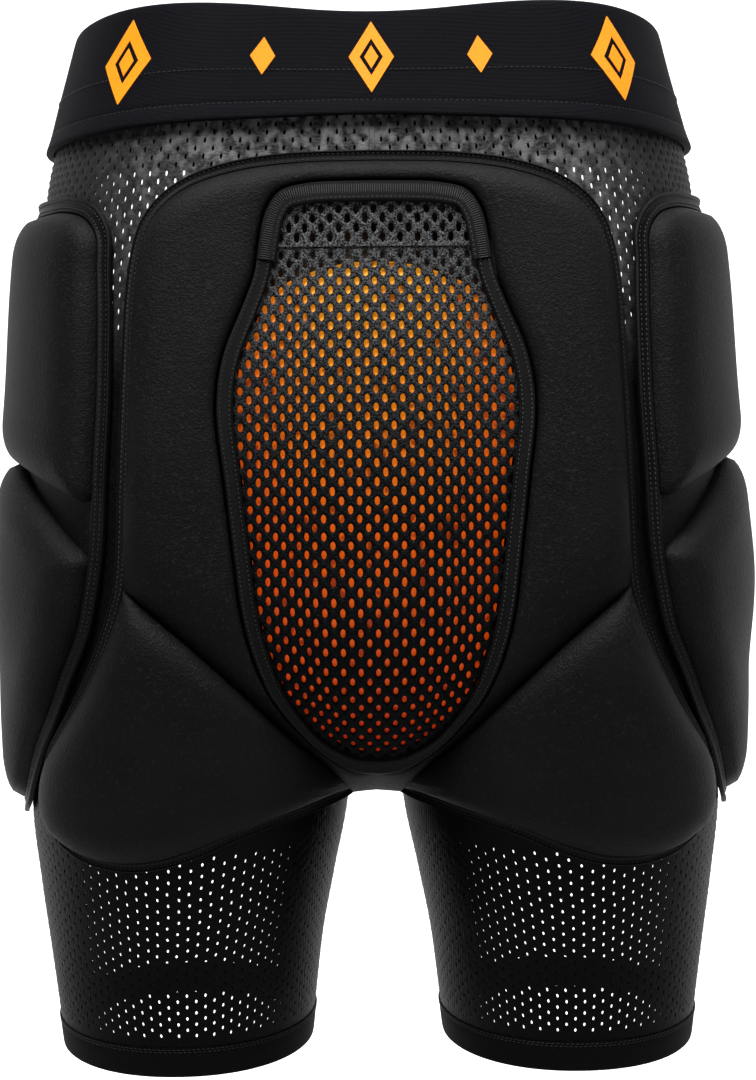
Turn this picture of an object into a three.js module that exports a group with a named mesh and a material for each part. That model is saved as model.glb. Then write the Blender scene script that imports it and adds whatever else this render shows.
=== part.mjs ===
import * as THREE from 'three';
import { mergeVertices } from 'three/addons/utils/BufferGeometryUtils.js';

// Padded impact shorts in their worn form. Millimetres, +Z up, the padded rear faces -Y.
// The origin is on the body's axis, at the middle height of the waistband.

// Body under the cloth
const hemToWaist = 442;
const hipHalfWidth = 161;
const seatDepth = 121;
const bellyDepth = 98;
const hemHalfGap = 31.5;
const crotchHalfGap = 11;
const rise = 318;
const bowlDepth = 105;
const crotchBlend = 18;
const torsoSquareness = 2.4;
const legSquareness = 2.1;

// Cloth, waistband and hems
const clothWall = 1.5;
const centreSeamGap = 0.3;
const pieceGap = 0.3;
const hemHeight = 14;
const hemWall = 2.6;
const hemProud = 0.5;
const bandHalfHeight = 24;
const bandWall = 2.4;
const bandClearance = 1.2;
const bandSag = 4;
const rimWave = 2.2;
const clothUnderBand = 12;

// Rear pad, its two lobes and the tailbone window
const padDrop = 42.5;
const padHalfWidth = 104.5;
const tipAboveCrotch = 3;
const tipHalfWidth = 14;
const creaseHeight = 96;
const padThickness = 14;
const padEdge = 2.6;
const creaseGap = 0.8;
const padClearance = 1.2;
const crotchClearance = 3.4;
const middleClearance = 1.4;
const lobeHalfWidth = 147;
const lobeDrop = 22;
const lobeThickness = 14;
const tapeWidth = 5;
const tapeThickness = 1.8;
const windowTopMargin = 9.5;
const windowSideMargin = 38;
const windowBottomMargin = 18.5;
const windowTapeWidth = 6.8;
const windowTapeGap = 1.4;
const windowTapeHeight = 12.6;
const bindingProud = 1;
const flapHeight = 21.5;
const netWall = 1.8;
const netRise = 8;
const netEdgeHeight = 9.5;
const netColumns = 6;
const netRows = 11;
const netHoleShare = 0.58;
const sheetClearance = 1.1;
const sheetMargin = 1.5;
const netCrowding = 1.35;
const insertDrop = 4;

// Hip pads
const hipFacing = 12;
const hipPadDrop = 60;
const hipPadHalfLength = 80;
const hipPadHeight = 264;
const hipSplitHeight = 140;
const hipNotch = 15;
const hipPadThickness = 13;
const hipFlat = 22;
const hipFlatPower = 1.6;
const hipTapeWidth = 6.6;
const hipClearance = 1.9;
const tapeClearance = 1.2;

const clothTop = clothUnderBand - bandHalfHeight;
const hemEdge = -hemToWaist;
const crotchFloor = -rise;
const padTop = -padDrop;
const padTip = crotchFloor + tipAboveCrotch;
const padHeight = padTop - padTip;
const windowTop = padTop - windowTopMargin;
const windowBottom = padTip + windowBottomMargin;
const windowHeight = windowTop - windowBottom;
const windowHalfWidth = padHalfWidth - windowSideMargin;

// Sections of the body from hem to waist. height is a share of hemToWaist, side of hipHalfWidth,
// rear of seatDepth, front of bellyDepth, and spread runs from the crotch gap (0) to the hem gap (1).
const sections = [
  { height: 0.00, side: 0.922, spread: 1.00, rear: 0.60, front: 0.716 },
  { height: 0.05, side: 0.937, spread: 0.88, rear: 0.64, front: 0.735 },
  { height: 0.11, side: 0.956, spread: 0.72, rear: 0.69, front: 0.785 },
  { height: 0.18, side: 0.978, spread: 0.43, rear: 0.78, front: 0.836 },
  { height: 0.26, side: 0.997, spread: 0.10, rear: 0.87, front: 0.897 },
  { height: 0.34, side: 0.995, spread: 0.00, rear: 0.95, front: 0.949 },
  { height: 0.45, side: 0.985, spread: 0.00, rear: 1.00, front: 0.990 },
  { height: 0.59, side: 0.957, spread: 0.00, rear: 1.00, front: 1.000 },
  { height: 0.70, side: 0.925, spread: 0.00, rear: 0.975, front: 1.000 },
  { height: 0.81, side: 0.906, spread: 0.00, rear: 0.927, front: 0.990 },
  { height: 0.89, side: 0.884, spread: 0.00, rear: 0.885, front: 0.980 },
  { height: 0.95, side: 0.848, spread: 0.00, rear: 0.851, front: 0.969 },
  { height: 1.03, side: 0.789, spread: 0.00, rear: 0.800, front: 0.950 },
  { height: 1.10, side: 0.738, spread: 0.00, rear: 0.750, front: 0.935 },
];

// Right half of the window's edge from its bottom middle to its top middle:
// across is a share of windowHalfWidth, up of windowHeight.
const windowEdge = [
  { across: 0.00, up: 0.000 }, { across: 0.17, up: 0.006 }, { across: 0.31, up: 0.022 },
  { across: 0.48, up: 0.052 }, { across: 0.63, up: 0.100 }, { across: 0.73, up: 0.145 },
  { across: 0.82, up: 0.215 }, { across: 0.87, up: 0.280 }, { across: 0.905, up: 0.360 },
  { across: 0.955, up: 0.490 }, { across: 1.00, up: 0.620 }, { across: 0.96, up: 0.705 },
  { across: 0.825, up: 0.800 }, { across: 0.765, up: 0.845 }, { across: 0.735, up: 0.900 },
  { across: 0.69, up: 0.950 }, { across: 0.60, up: 0.983 }, { across: 0.42, up: 0.996 },
  { across: 0.00, up: 1.000 },
];

// Right half of the centre pad's edge from its top middle to the top of the crease:
// across is a share of padHalfWidth, up of the height from the crease's top to the pad's top.
const padShoulder = [
  { across: 0.00, up: 1.000 }, { across: 0.33, up: 0.995 }, { across: 0.54, up: 0.978 },
  { across: 0.71, up: 0.945 }, { across: 0.81, up: 0.905 }, { across: 0.875, up: 0.855 },
  { across: 0.91, up: 0.795 }, { across: 0.935, up: 0.70 }, { across: 0.955, up: 0.50 },
  { across: 0.975, up: 0.25 }, { across: 1.00, up: 0.000 },
];

// Crease between the centre pad and a lobe, downwards: across is a share of the way
// from tipHalfWidth to padHalfWidth, up of creaseHeight.
const crease = [
  { across: 1.00, up: 1.00 }, { across: 0.74, up: 0.78 }, { across: 0.55, up: 0.60 },
  { across: 0.40, up: 0.44 }, { across: 0.28, up: 0.30 }, { across: 0.15, up: 0.16 },
  { across: 0.00, up: 0.00 },
];

// Outer edge of a lobe, downwards from the crease's top: across is a share of the way from
// padHalfWidth to lobeHalfWidth, up of the lobe's whole height.
const lobeSide = [
  { across: 0.00, up: 1.00 }, { across: 0.08, up: 0.90 }, { across: 0.22, up: 0.77 },
  { across: 0.37, up: 0.66 }, { across: 0.58, up: 0.53 }, { across: 0.77, up: 0.43 },
  { across: 0.92, up: 0.34 }, { across: 1.00, up: 0.22 }, { across: 0.97, up: 0.13 },
  { across: 0.85, up: 0.06 },
];

// Lower edge of a lobe, inwards to the tip: across is a share of the way from tipHalfWidth
// to lobeHalfWidth, down of lobeDrop below the tip.
const lobeFoot = [
  { across: 0.95, down: 0.68 }, { across: 0.88, down: 0.89 }, { across: 0.79, down: 1.00 },
  { across: 0.70, down: 1.00 }, { across: 0.61, down: 0.90 }, { across: 0.50, down: 0.66 },
  { across: 0.39, down: 0.37 }, { across: 0.28, down: 0.17 }, { across: 0.14, down: 0.03 },
  { across: 0.00, down: 0.00 },
];

// Edge of the whole hip pad, anticlockwise from its lower middle: across is a share of
// hipPadHalfLength towards the rear (negative) and the front, up of hipPadHeight.
const hipRear = [
  { across: 0.15, up: 0.000 }, { across: -0.10, up: 0.028 }, { across: -0.28, up: 0.075 },
  { across: -0.48, up: 0.135 }, { across: -0.66, up: 0.190 }, { across: -0.81, up: 0.255 },
  { across: -0.93, up: 0.320 }, { across: -0.985, up: 0.390 }, { across: -1.01, up: 0.460 },
  { across: -1.015, up: 0.530 }, { across: -1.005, up: 0.620 }, { across: -0.98, up: 0.720 },
  { across: -0.94, up: 0.830 }, { across: -0.90, up: 0.905 }, { across: -0.87, up: 0.955 },
  { across: -0.78, up: 0.985 }, { across: -0.62, up: 0.998 }, { across: -0.30, up: 1.000 },
  { across: 0.00, up: 1.000 },
];
const hipFront = [
  { across: 0.00, up: 1.000 }, { across: 0.30, up: 1.000 }, { across: 0.62, up: 0.990 },
  { across: 0.80, up: 0.955 }, { across: 0.90, up: 0.880 }, { across: 0.96, up: 0.780 },
  { across: 1.00, up: 0.640 }, { across: 1.00, up: 0.500 }, { across: 0.97, up: 0.360 },
  { across: 0.88, up: 0.220 }, { across: 0.72, up: 0.110 }, { across: 0.45, up: 0.028 },
  { across: 0.15, up: 0.000 },
];

const looks = {
  meshCloth: { color: 0x17181a, roughness: 0.9, metalness: 0 },
  band: { color: 0x121419, roughness: 0.85, metalness: 0 },
  hem: { color: 0x131416, roughness: 0.88, metalness: 0 },
  pad: { color: 0x1b1c1e, roughness: 0.8, metalness: 0 },
  tape: { color: 0x101113, roughness: 0.7, metalness: 0 },
  net: { color: 0x3a3b3d, roughness: 0.85, metalness: 0 },
  insert: { color: 0xf08a1e, roughness: 0.6, metalness: 0 },
};

const group = new THREE.Group();

// Monotone curve through one column of a table, level past the table's ends
function curveThrough(rows, key, column) {
  const at = rows.map((row) => row[key]);
  const value = rows.map((row) => row[column]);
  const last = at.length - 1;
  const rises = at.slice(1).map((a, i) => (value[i + 1] - value[i]) / (a - at[i]));
  const slopes = value.map((_, i) => {
    if (i === 0) return rises[0];
    if (i === last) return rises[last - 1];
    const [before, after] = [rises[i - 1], rises[i]];
    return before * after > 0 ? (2 * before * after) / (before + after) : 0;
  });
  return (share) => {
    if (share <= at[0]) return value[0];
    if (share >= at[last]) return value[last];
    const i = at.findIndex((a) => a > share) - 1;
    const width = at[i + 1] - at[i];
    const t = (share - at[i]) / width;
    const rest = 1 - t;
    return value[i] * (1 + 2 * t) * rest * rest + value[i + 1] * (3 - 2 * t) * t * t
      + slopes[i] * width * t * rest * rest - slopes[i + 1] * width * t * t * rest;
  };
}

const sideShare = curveThrough(sections, 'height', 'side');
const spreadShare = curveThrough(sections, 'height', 'spread');
const rearShare = curveThrough(sections, 'height', 'rear');
const frontShare = curveThrough(sections, 'height', 'front');

function bodySizes(z) {
  const height = 1 + z / hemToWaist;
  return {
    side: hipHalfWidth * sideShare(height),
    inner: crotchHalfGap + (hemHalfGap - crotchHalfGap) * spreadShare(height),
    rear: seatDepth * rearShare(height),
    front: bellyDepth * frontShare(height),
  };
}

function roundness(a, b, power) {
  return (Math.abs(a) ** power + Math.abs(b) ** power) ** (1 / power);
}

// Rough signed distance to the body: two legs under a bowl-bottomed torso, blended at the crotch
function field(x, y, z) {
  const { side, inner, rear, front } = bodySizes(z);
  const depth = y < 0 ? rear : front;
  const legCentre = (side + inner) / 2;
  const legHalf = (side - inner) / 2;
  const leg = (roundness((Math.abs(x) - legCentre) / legHalf, y / depth, legSquareness) - 1)
    * Math.min(legHalf, depth);
  const sunk = Math.max(crotchFloor + bowlDepth - z, 0) / bowlDepth;
  const bowl = Math.sqrt(Math.max(1 - sunk * sunk, 0.0001));
  const torso = (roundness(x / (side * bowl), y / (depth * bowl), torsoSquareness) - 1)
    * Math.min(side, depth) * bowl + 3 * Math.max(crotchFloor - z, 0);
  const mix = THREE.MathUtils.clamp(0.5 + (0.5 * (leg - torso)) / crotchBlend, 0, 1);
  return leg * (1 - mix) + torso * mix - crotchBlend * mix * (1 - mix);
}

const fieldAt = (point) => field(point.x, point.y, point.z);

function normalAt(point) {
  const step = 0.5;
  const { x, y, z } = point;
  return new THREE.Vector3(
    field(x + step, y, z) - field(x - step, y, z),
    field(x, y + step, z) - field(x, y - step, z),
    field(x, y, z + step) - field(x, y, z - step),
  ).normalize();
}

// First place where the body's surface is crossed on the way from start to end, or the
// place nearest to the surface where it is only passed
function crossing(start, end) {
  const steps = 80;
  const at = (share) => start.clone().lerp(end, share);
  const startSign = Math.sign(fieldAt(start));
  let nearest = 0;
  let nearestField = Infinity;
  for (let i = 1; i <= steps; i += 1) {
    const value = fieldAt(at(i / steps));
    if (Math.sign(value) !== startSign) return bisect(at, (i - 1) / steps, i / steps, startSign);
    if (Math.abs(value) < nearestField) {
      nearestField = Math.abs(value);
      nearest = i / steps;
    }
  }
  return at(nearest);
}

function bisect(at, lowShare, highShare, startSign) {
  let [low, high] = [lowShare, highShare];
  for (let i = 0; i < 26; i += 1) {
    const middle = (low + high) / 2;
    if (Math.sign(fieldAt(at(middle))) === startSign) low = middle;
    else high = middle;
  }
  return at((low + high) / 2);
}

// A view is a horizontal direction from which a pad's outline is drawn: out points away
// from the body and across runs along the outline's level coordinate.
function view(outX, outY, acrossX, acrossY) {
  return {
    out: new THREE.Vector3(outX, outY, 0),
    across: new THREE.Vector3(acrossX, acrossY, 0),
  };
}

const rearView = view(0, -1, 1, 0);
const hipTurn = THREE.MathUtils.degToRad(hipFacing);
const rightHipView = view(
  Math.cos(hipTurn), -Math.sin(hipTurn), Math.sin(hipTurn), Math.cos(hipTurn));

// Point of the body's surface under an outline's point, raised by lift along the normal
function onBody(from, across, z, lift) {
  const middle = from.across.clone().multiplyScalar(across).setZ(z);
  const far = 2 * hipHalfWidth;
  const foot = crossing(middle.clone().addScaledVector(from.out, far), middle);
  return foot.addScaledVector(normalAt(foot), lift);
}

// Named mesh from corner points and triangles: equal points become one, and faces look out
function addSolid(name, look, points, triangles) {
  const raw = new THREE.BufferGeometry();
  raw.setAttribute('position', new THREE.Float32BufferAttribute(
    points.flatMap((p) => [p.x, p.y, p.z]), 3));
  raw.setIndex(triangles.flat());
  const geometry = mergeVertices(raw, 0.001);
  const index = geometry.getIndex().array;
  const corner = (i) => new THREE.Vector3().fromBufferAttribute(geometry.getAttribute('position'), i);
  const kept = [];
  let volume = 0;
  for (let i = 0; i < index.length; i += 3) {
    const [a, b, c] = [index[i], index[i + 1], index[i + 2]];
    if (a === b || b === c || c === a) continue;
    kept.push([a, b, c]);
    volume += corner(a).dot(corner(b).cross(corner(c)));
  }
  geometry.setIndex(kept.flatMap(([a, b, c]) => (volume > 0 ? [a, b, c] : [a, c, b])));
  const shaded = geometry.toNonIndexed();
  shaded.computeVertexNormals();
  const mesh = new THREE.Mesh(shaded, new THREE.MeshStandardMaterial(look));
  mesh.name = name;
  group.add(mesh);
}

const quad = (a, b, c, d) => [[a, b, c], [a, c, d]];

// Band between two outlines: section is the closed loop of the band's cross-section, with
// share 0 on the inner outline and 1 on the outer one, less inset millimetres, at its lift
// above the body, which may depend on the place. The shape is drawn on the right, and side -1
// mirrors it to the left.
function addRing(name, look, from, inner, outer, section, { side = 1, closed = true } = {}) {
  const points = [];
  const triangles = [];
  outer.forEach((edge, i) => {
    const span = edge.distanceTo(inner[i]);
    section.forEach(({ share, inset = 0, lift }) => {
      const place = inner[i].clone().lerp(edge, share - inset / span);
      const point = onBody(from, place.x, place.y, lift(place));
      points.push(point.setX(side * point.x));
    });
  });
  const rows = section.length;
  const stations = outer.length;
  const steps = closed ? stations : stations - 1;
  for (let i = 0; i < steps; i += 1) {
    for (let j = 0; j < rows; j += 1) {
      const [here, next] = [i * rows, ((i + 1) % stations) * rows];
      const up = (j + 1) % rows;
      triangles.push(...quad(here + j, here + up, next + up, next + j));
    }
  }
  if (!closed) {
    const end = (stations - 1) * rows;
    for (let j = 1; j < rows - 1; j += 1) {
      triangles.push([0, j + 1, j], [end, end + j, end + j + 1]);
    }
  }
  addSolid(name, look, points, triangles);
}

// Evenly spaced points of a smooth outline, without its last one
function stretch(points, count) {
  const curve = new THREE.CatmullRomCurve3(
    points.map((p) => new THREE.Vector3(p.x, p.y, 0)), false, 'centripetal');
  return curve.getSpacedPoints(count).slice(0, count).map((p) => new THREE.Vector2(p.x, p.y));
}

const mirrored = (points) => points.map((p) => new THREE.Vector2(-p.x, p.y)).reverse();

// Clockwise outline moved inwards by a width, square to itself
function narrowed(outline, width, closed = true) {
  const last = outline.length - 1;
  return outline.map((point, i) => {
    const before = outline[closed && i === 0 ? last : Math.max(i - 1, 0)];
    const after = outline[closed && i === last ? 0 : Math.min(i + 1, last)];
    const along = after.clone().sub(before).normalize();
    return new THREE.Vector2(point.x + along.y * width, point.y - along.x * width);
  });
}

// Cloth halves

const seamX = centreSeamGap / 2;
const legColumns = 22;

const crotchPoint = crossing(
  new THREE.Vector3(seamX, 0, hemEdge), new THREE.Vector3(seamX, 0, clothTop));

// Heights of the cloth's rows: even down the leg, closer together just above the crotch
function clothRows() {
  const legRows = 6;
  const torsoRows = 13;
  const crowding = 1.9;
  const low = hemEdge + hemHeight + pieceGap;
  const rows = [];
  for (let j = 0; j < legRows; j += 1) {
    rows.push(THREE.MathUtils.lerp(low, crotchPoint.z, j / legRows));
  }
  for (let j = 0; j <= torsoRows; j += 1) {
    rows.push(THREE.MathUtils.lerp(crotchPoint.z, clothTop, (j / torsoRows) ** crowding));
  }
  return { rows, crotchRow: legRows };
}

function legCentreAt(z) {
  const { side, inner } = bodySizes(z);
  return (side + inner) / 2;
}

// One level row of surface points round a leg or half the torso, from the centre front round
// the outside to the centre rear
function rowAround(z, open) {
  const centre = new THREE.Vector3(legCentreAt(z), 0, z);
  const far = 2 * hipHalfWidth;
  let [startTurn, endTurn] = [Math.PI, -Math.PI];
  let ends = [];
  if (open) {
    const seam = new THREE.Vector3(seamX, 0, z);
    ends = [far, -far].map((y) => crossing(seam, new THREE.Vector3(seamX, y, z)));
    [startTurn, endTurn] = ends.map((end) => Math.atan2(end.y, seamX - centre.x));
  }
  const row = [];
  for (let i = 0; i <= legColumns; i += 1) {
    const turn = THREE.MathUtils.lerp(startTurn, endTurn, i / legColumns);
    const reach = new THREE.Vector3(Math.cos(turn), Math.sin(turn), 0).multiplyScalar(far);
    row.push(crossing(centre, reach.add(centre)));
  }
  if (open) [row[0], row[legColumns]] = ends;
  return row;
}

function pushedIn(point, depth, onSeam) {
  const normal = normalAt(point);
  if (onSeam) normal.setX(0).normalize();
  return point.clone().addScaledVector(normal, -depth);
}

function addCloth(name, side) {
  const { rows, crotchRow } = clothRows();
  const outer = rows.map((z, j) => rowAround(z, j > crotchRow));
  outer[crotchRow][0] = crotchPoint.clone();
  outer[crotchRow][legColumns] = crotchPoint.clone();
  const inner = outer.map((row, j) => row.map((point, i) => {
    const onSeam = j >= crotchRow && (i === 0 || i === legColumns);
    if (j === crotchRow && onSeam) return point.clone().add(new THREE.Vector3(0, 0, clothWall));
    return pushedIn(point, clothWall, onSeam);
  }));
  const points = [outer, inner].flat(2).map((p) => new THREE.Vector3(side * p.x, p.y, p.z));
  const width = legColumns + 1;
  const layer = rows.length * width;
  const at = (deep, j, i) => deep * layer + j * width + (j <= crotchRow && i === legColumns ? 0 : i);
  const triangles = [];
  const top = rows.length - 1;
  for (let j = 0; j < top; j += 1) {
    for (let i = 0; i < legColumns; i += 1) {
      triangles.push(...quad(at(0, j, i), at(0, j, i + 1), at(0, j + 1, i + 1), at(0, j + 1, i)));
      triangles.push(...quad(at(1, j, i + 1), at(1, j, i), at(1, j + 1, i), at(1, j + 1, i + 1)));
    }
    if (j < crotchRow) continue;
    triangles.push(...quad(at(0, j, 0), at(0, j + 1, 0), at(1, j + 1, 0), at(1, j, 0)));
    triangles.push(...quad(at(1, j, legColumns), at(1, j + 1, legColumns),
      at(0, j + 1, legColumns), at(0, j, legColumns)));
  }
  for (let i = 0; i < legColumns; i += 1) {
    triangles.push(...quad(at(0, 0, i + 1), at(0, 0, i), at(1, 0, i), at(1, 0, i + 1)));
    triangles.push(...quad(at(0, top, i), at(0, top, i + 1), at(1, top, i + 1), at(1, top, i)));
  }
  addSolid(name, looks.meshCloth, points, triangles);
}

// Closed loop of rows, each a closed ring of points
function addLoop(name, look, rings) {
  const count = rings[0].length;
  const triangles = [];
  rings.forEach((_, j) => {
    const [here, next] = [j * count, ((j + 1) % rings.length) * count];
    for (let i = 0; i < count; i += 1) {
      const right = (i + 1) % count;
      triangles.push(...quad(here + i, here + right, next + right, next + i));
    }
  });
  addSolid(name, look, rings.flat(), triangles);
}

function addHem(name, side) {
  const ringAt = (z, lift) => rowAround(z, false).slice(0, legColumns)
    .map((point) => point.addScaledVector(normalAt(point), lift))
    .map((point) => new THREE.Vector3(side * point.x, point.y, z));
  const [low, high] = [hemEdge, hemEdge + hemHeight];
  const deep = hemProud - hemWall;
  addLoop(name, looks.hem, [
    ringAt(low, hemProud), ringAt(high, hemProud), ringAt(high, deep), ringAt(low, deep)]);
}

// Elastic waistband: its lower edge dips at the sides and its rim is slightly wavy

function addWaistband() {
  const columns = 44;
  const far = 2 * hipHalfWidth;
  const ringAt = (heightAt, lift) => {
    const ring = [];
    for (let i = 0; i < columns; i += 1) {
      const turn = (2 * Math.PI * i) / columns;
      const z = heightAt(turn);
      const centre = new THREE.Vector3(0, 0, z);
      const reach = new THREE.Vector3(Math.sin(turn) * far, -Math.cos(turn) * far, z);
      const foot = crossing(centre, reach);
      ring.push(foot.addScaledVector(normalAt(foot), lift).setZ(z));
    }
    return ring;
  };
  const rim = (turn) => bandHalfHeight - rimWave * Math.cos(4 * turn);
  const foot = (turn) => -bandHalfHeight - bandSag / 2 + bandSag * Math.cos(2 * turn);
  const waist = () => 0;
  const [near, proud] = [bandClearance, bandClearance + bandWall];
  addLoop('waistband', looks.band, [
    ringAt(foot, proud), ringAt(waist, proud), ringAt(rim, proud),
    ringAt(rim, near), ringAt(waist, near), ringAt(foot, near)]);
}

// Outlines of the rear pads, seen from the rear: x is level, y is the height

const creaseTop = padTip + creaseHeight;
const lobeLow = padTip - lobeDrop;
const tipPoint = new THREE.Vector2(0, padTip);

// Lift of the backs of pads and tapes, larger in the tight curves near the crotch
const clear = (place) => padClearance
  + crotchClearance * Math.max(0, 1 - place.distanceTo(tipPoint) / padHalfWidth);
const clearMiddle = (place) => clear(place) + middleClearance;
const hipClear = () => hipClearance;
const hipClearMiddle = () => hipClearance + middleClearance;
const level = (lift) => () => lift;

const shoulderPoints = padShoulder.map(({ across, up }) => new THREE.Vector2(
  across * padHalfWidth, creaseTop + up * (padTop - creaseTop)));
const creasePoints = crease.map(({ across, up }) => new THREE.Vector2(
  tipHalfWidth + across * (padHalfWidth - tipHalfWidth), padTip + up * creaseHeight));
const lobeSidePoints = lobeSide.map(({ across, up }) => new THREE.Vector2(
  padHalfWidth + across * (lobeHalfWidth - padHalfWidth), lobeLow + up * (creaseTop - lobeLow)));
const lobeFootPoints = lobeFoot.map(({ across, down }) => new THREE.Vector2(
  tipHalfWidth + across * (lobeHalfWidth - tipHalfWidth), padTip - down * lobeDrop));
const windowPoints = windowEdge.map(({ across, up }) => new THREE.Vector2(
  across * windowHalfWidth, windowBottom + up * windowHeight)).reverse();

const shoulderCount = 15;
const creaseCount = 7;

// Whole outline from its right half, which starts at the top middle and ends at the lower
// middle: both middles are single points
function bothSides(rightHalf, bottom) {
  const [top, ...right] = rightHalf;
  return [top, ...right, bottom, ...mirrored(right)];
}

const padOutline = bothSides(
  [...stretch(shoulderPoints, shoulderCount), ...stretch(creasePoints, creaseCount),
    creasePoints.at(-1)],
  tipPoint);
const windowOutline = bothSides(
  stretch(windowPoints, shoulderCount + creaseCount + 1), windowPoints.at(-1));

const windowInnerOutline = narrowed(windowOutline, windowTapeWidth);

// Hip pads, drawn from the side

const hipLow = -hipPadDrop - hipPadHeight;
const hipPoint = ({ across, up }) => new THREE.Vector2(
  across * hipPadHalfLength, hipLow + up * hipPadHeight);
const hipOutline = [
  ...stretch(hipRear.map(hipPoint), 22), ...stretch(hipFront.map(hipPoint), 16)];

// Edge of the hip tapes as seen from the rear, which the rear pads stay clear of
const hipTapeEdge = outwards(rightHipView, hipOutline, pieceGap + hipTapeWidth, true)
  .slice(0, 20).map((p) => onBody(rightHipView, p.x, p.y, 0));

// Outline moved outwards by a width measured on the body's own surface
function outwards(from, outline, width, closed) {
  return narrowed(outline, -width, closed).map((moved, i) => {
    const normal = normalAt(onBody(from, outline[i].x, outline[i].y, 0));
    const facing = normal.dot(from.out) / Math.hypot(normal.dot(from.out), normal.dot(from.across));
    return new THREE.Vector2(outline[i].x + (moved.x - outline[i].x) * facing, moved.y);
  });
}

function reachBeside(z) {
  for (let i = 1; i < hipTapeEdge.length; i += 1) {
    const [low, high] = [hipTapeEdge[i - 1], hipTapeEdge[i]];
    if (z >= low.z && z < high.z) {
      return THREE.MathUtils.mapLinear(z, low.z, high.z, low.x, high.x) - tapeClearance;
    }
  }
  return Infinity;
}

const keptBeside = (outline) => outline.map((p) => new THREE.Vector2(
  Math.sign(p.x) * Math.min(Math.abs(p.x), reachBeside(p.y)), p.y));

// Rear pad: its centre is a ring round the tailbone window, thickest beside the window.
// height is a share of padThickness at a share of the way from the window to the pad's edge.
const padCrown = [
  { share: 0.25, height: 1 }, { share: 0.62, height: 0.95 }, { share: 0.88, height: 0.6 }];
const padTipHeight = 0.45;

function addRearPad() {
  const outer = narrowed(padOutline, creaseGap / 2);
  const inner = narrowed(windowOutline, -windowTapeGap / 2);
  const taperLength = 3 * windowBottomMargin;
  const thin = (height) => (place) => height * padThickness
    * Math.min(1, padTipHeight + place.distanceTo(tipPoint) / taperLength);
  addRing('rear_pad_centre', looks.pad, rearView, inner, outer, [
    { share: 0, lift: level(windowTapeHeight - bindingProud) },
    ...padCrown.map(({ share, height }) => ({ share, lift: thin(height) })),
    { share: 1, lift: (place) => clear(place) + padEdge }, { share: 1, lift: clear },
    { share: 0.67, lift: clearMiddle }, { share: 0.33, lift: clearMiddle },
    { share: 0, lift: clear }]);
}

const creaseStations = [...stretch(creasePoints, creaseCount), creasePoints[creasePoints.length - 1]];
const lobeFootEnd = lobeFootPoints.at(-1).clone().lerp(lobeFootPoints.at(-2), 0.5);
const lobeOutline = [
  ...stretch([...lobeSidePoints, ...lobeFootPoints.slice(0, -1), lobeFootEnd], 24), lobeFootEnd,
  ...creaseStations.slice(1, -1).reverse()];

// Domed front of a separate pad from its middle to its edge: share is of the way, inset is a
// length back from there, and height is a share of the pad's thickness.
const domeRows = [
  { share: 0, inset: 0, height: 1 }, { share: 0.5, inset: 0, height: 1 },
  { share: 1, inset: 14, height: 0.92 }, { share: 1, inset: 5, height: 0.64 }];

// Section of a separate pad, from its middle over its edge to the middle of its back
function domedSection(thickness, taper, back, backMiddle) {
  const dome = (height) => (place) => back(place)
    + height * (thickness - padClearance) * taper(place);
  return [
    ...domeRows.map(({ share, inset, height }) => ({ share, inset, lift: dome(height) })),
    { share: 1, lift: (place) => back(place) + padEdge }, { share: 1, lift: back },
    { share: 0.75, lift: backMiddle }, { share: 0.5, lift: backMiddle },
    { share: 0.25, lift: backMiddle }, { share: 0, lift: backMiddle }];
}

// Lobes thin out towards the pad's tip: shares of lobeThickness there and gained across the lobe
const lobeMiddle = { across: 0.64, up: 0.36 };
const lobeTipHeight = 0.3;
const lobeTaper = 1.4;

function addLobe(name, side) {
  const outline = keptBeside(narrowed(lobeOutline, creaseGap / 2));
  const middle = new THREE.Vector2(lobeMiddle.across * lobeHalfWidth,
    THREE.MathUtils.lerp(lobeLow, creaseTop, lobeMiddle.up));
  const taper = (place) => Math.min(1, lobeTipHeight
    + ((place.x - tipHalfWidth) / (padHalfWidth - tipHalfWidth)) * lobeTaper);
  addRing(name, looks.pad, rearView, outline.map(() => middle), outline,
    domedSection(lobeThickness, taper, clear, clearMiddle), { side });
}

// Flat tape between a pad's edge and its own outer edge
function addTape(name, from, path, width, back, { side = 1, closed = true, fit = (p) => p } = {}) {
  const front = (place) => back(place) + tapeThickness;
  addRing(name, looks.tape, from, fit(outwards(from, path, pieceGap, closed)),
    fit(outwards(from, path, pieceGap + width, closed)), [
      { share: 0, lift: front }, { share: 1, lift: front },
      { share: 1, lift: back }, { share: 0, lift: back }], { side, closed });
}

function addRearTapes() {
  const [top, ...right] = [...stretch(shoulderPoints, shoulderCount), shoulderPoints.at(-1)];
  const open = { closed: false, fit: keptBeside };
  addTape('rear_tape_upper', rearView, [...mirrored(right), top, ...right], tapeWidth, clear, open);
  const foot = [...stretch(lobeFootPoints, 12), lobeFootPoints.at(-1)];
  addTape('rear_tape_lower', rearView, [...foot, tipPoint, ...mirrored(foot)], tapeWidth, clear, open);
}

// Tailbone window: binding, mesh flap, pierced net and the domed insert under it

const bindingFall = 0.6;

function addWindowTape() {
  const [edge, crown] = [windowTapeHeight - bindingFall, windowTapeHeight];
  addRing('window_binding', looks.tape, rearView, windowInnerOutline,
    narrowed(windowOutline, windowTapeGap / 2), [
      { share: 0, lift: level(edge) }, { share: 0.5, lift: level(crown) },
      { share: 1, lift: level(edge) }, { share: 1, lift: clear }, { share: 0, lift: clear }]);
}

const windowSide = windowInnerOutline.slice(0, shoulderCount + creaseCount + 2);
const innerTop = windowSide[0].y;
const innerBottom = windowSide.at(-1).y;

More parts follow.
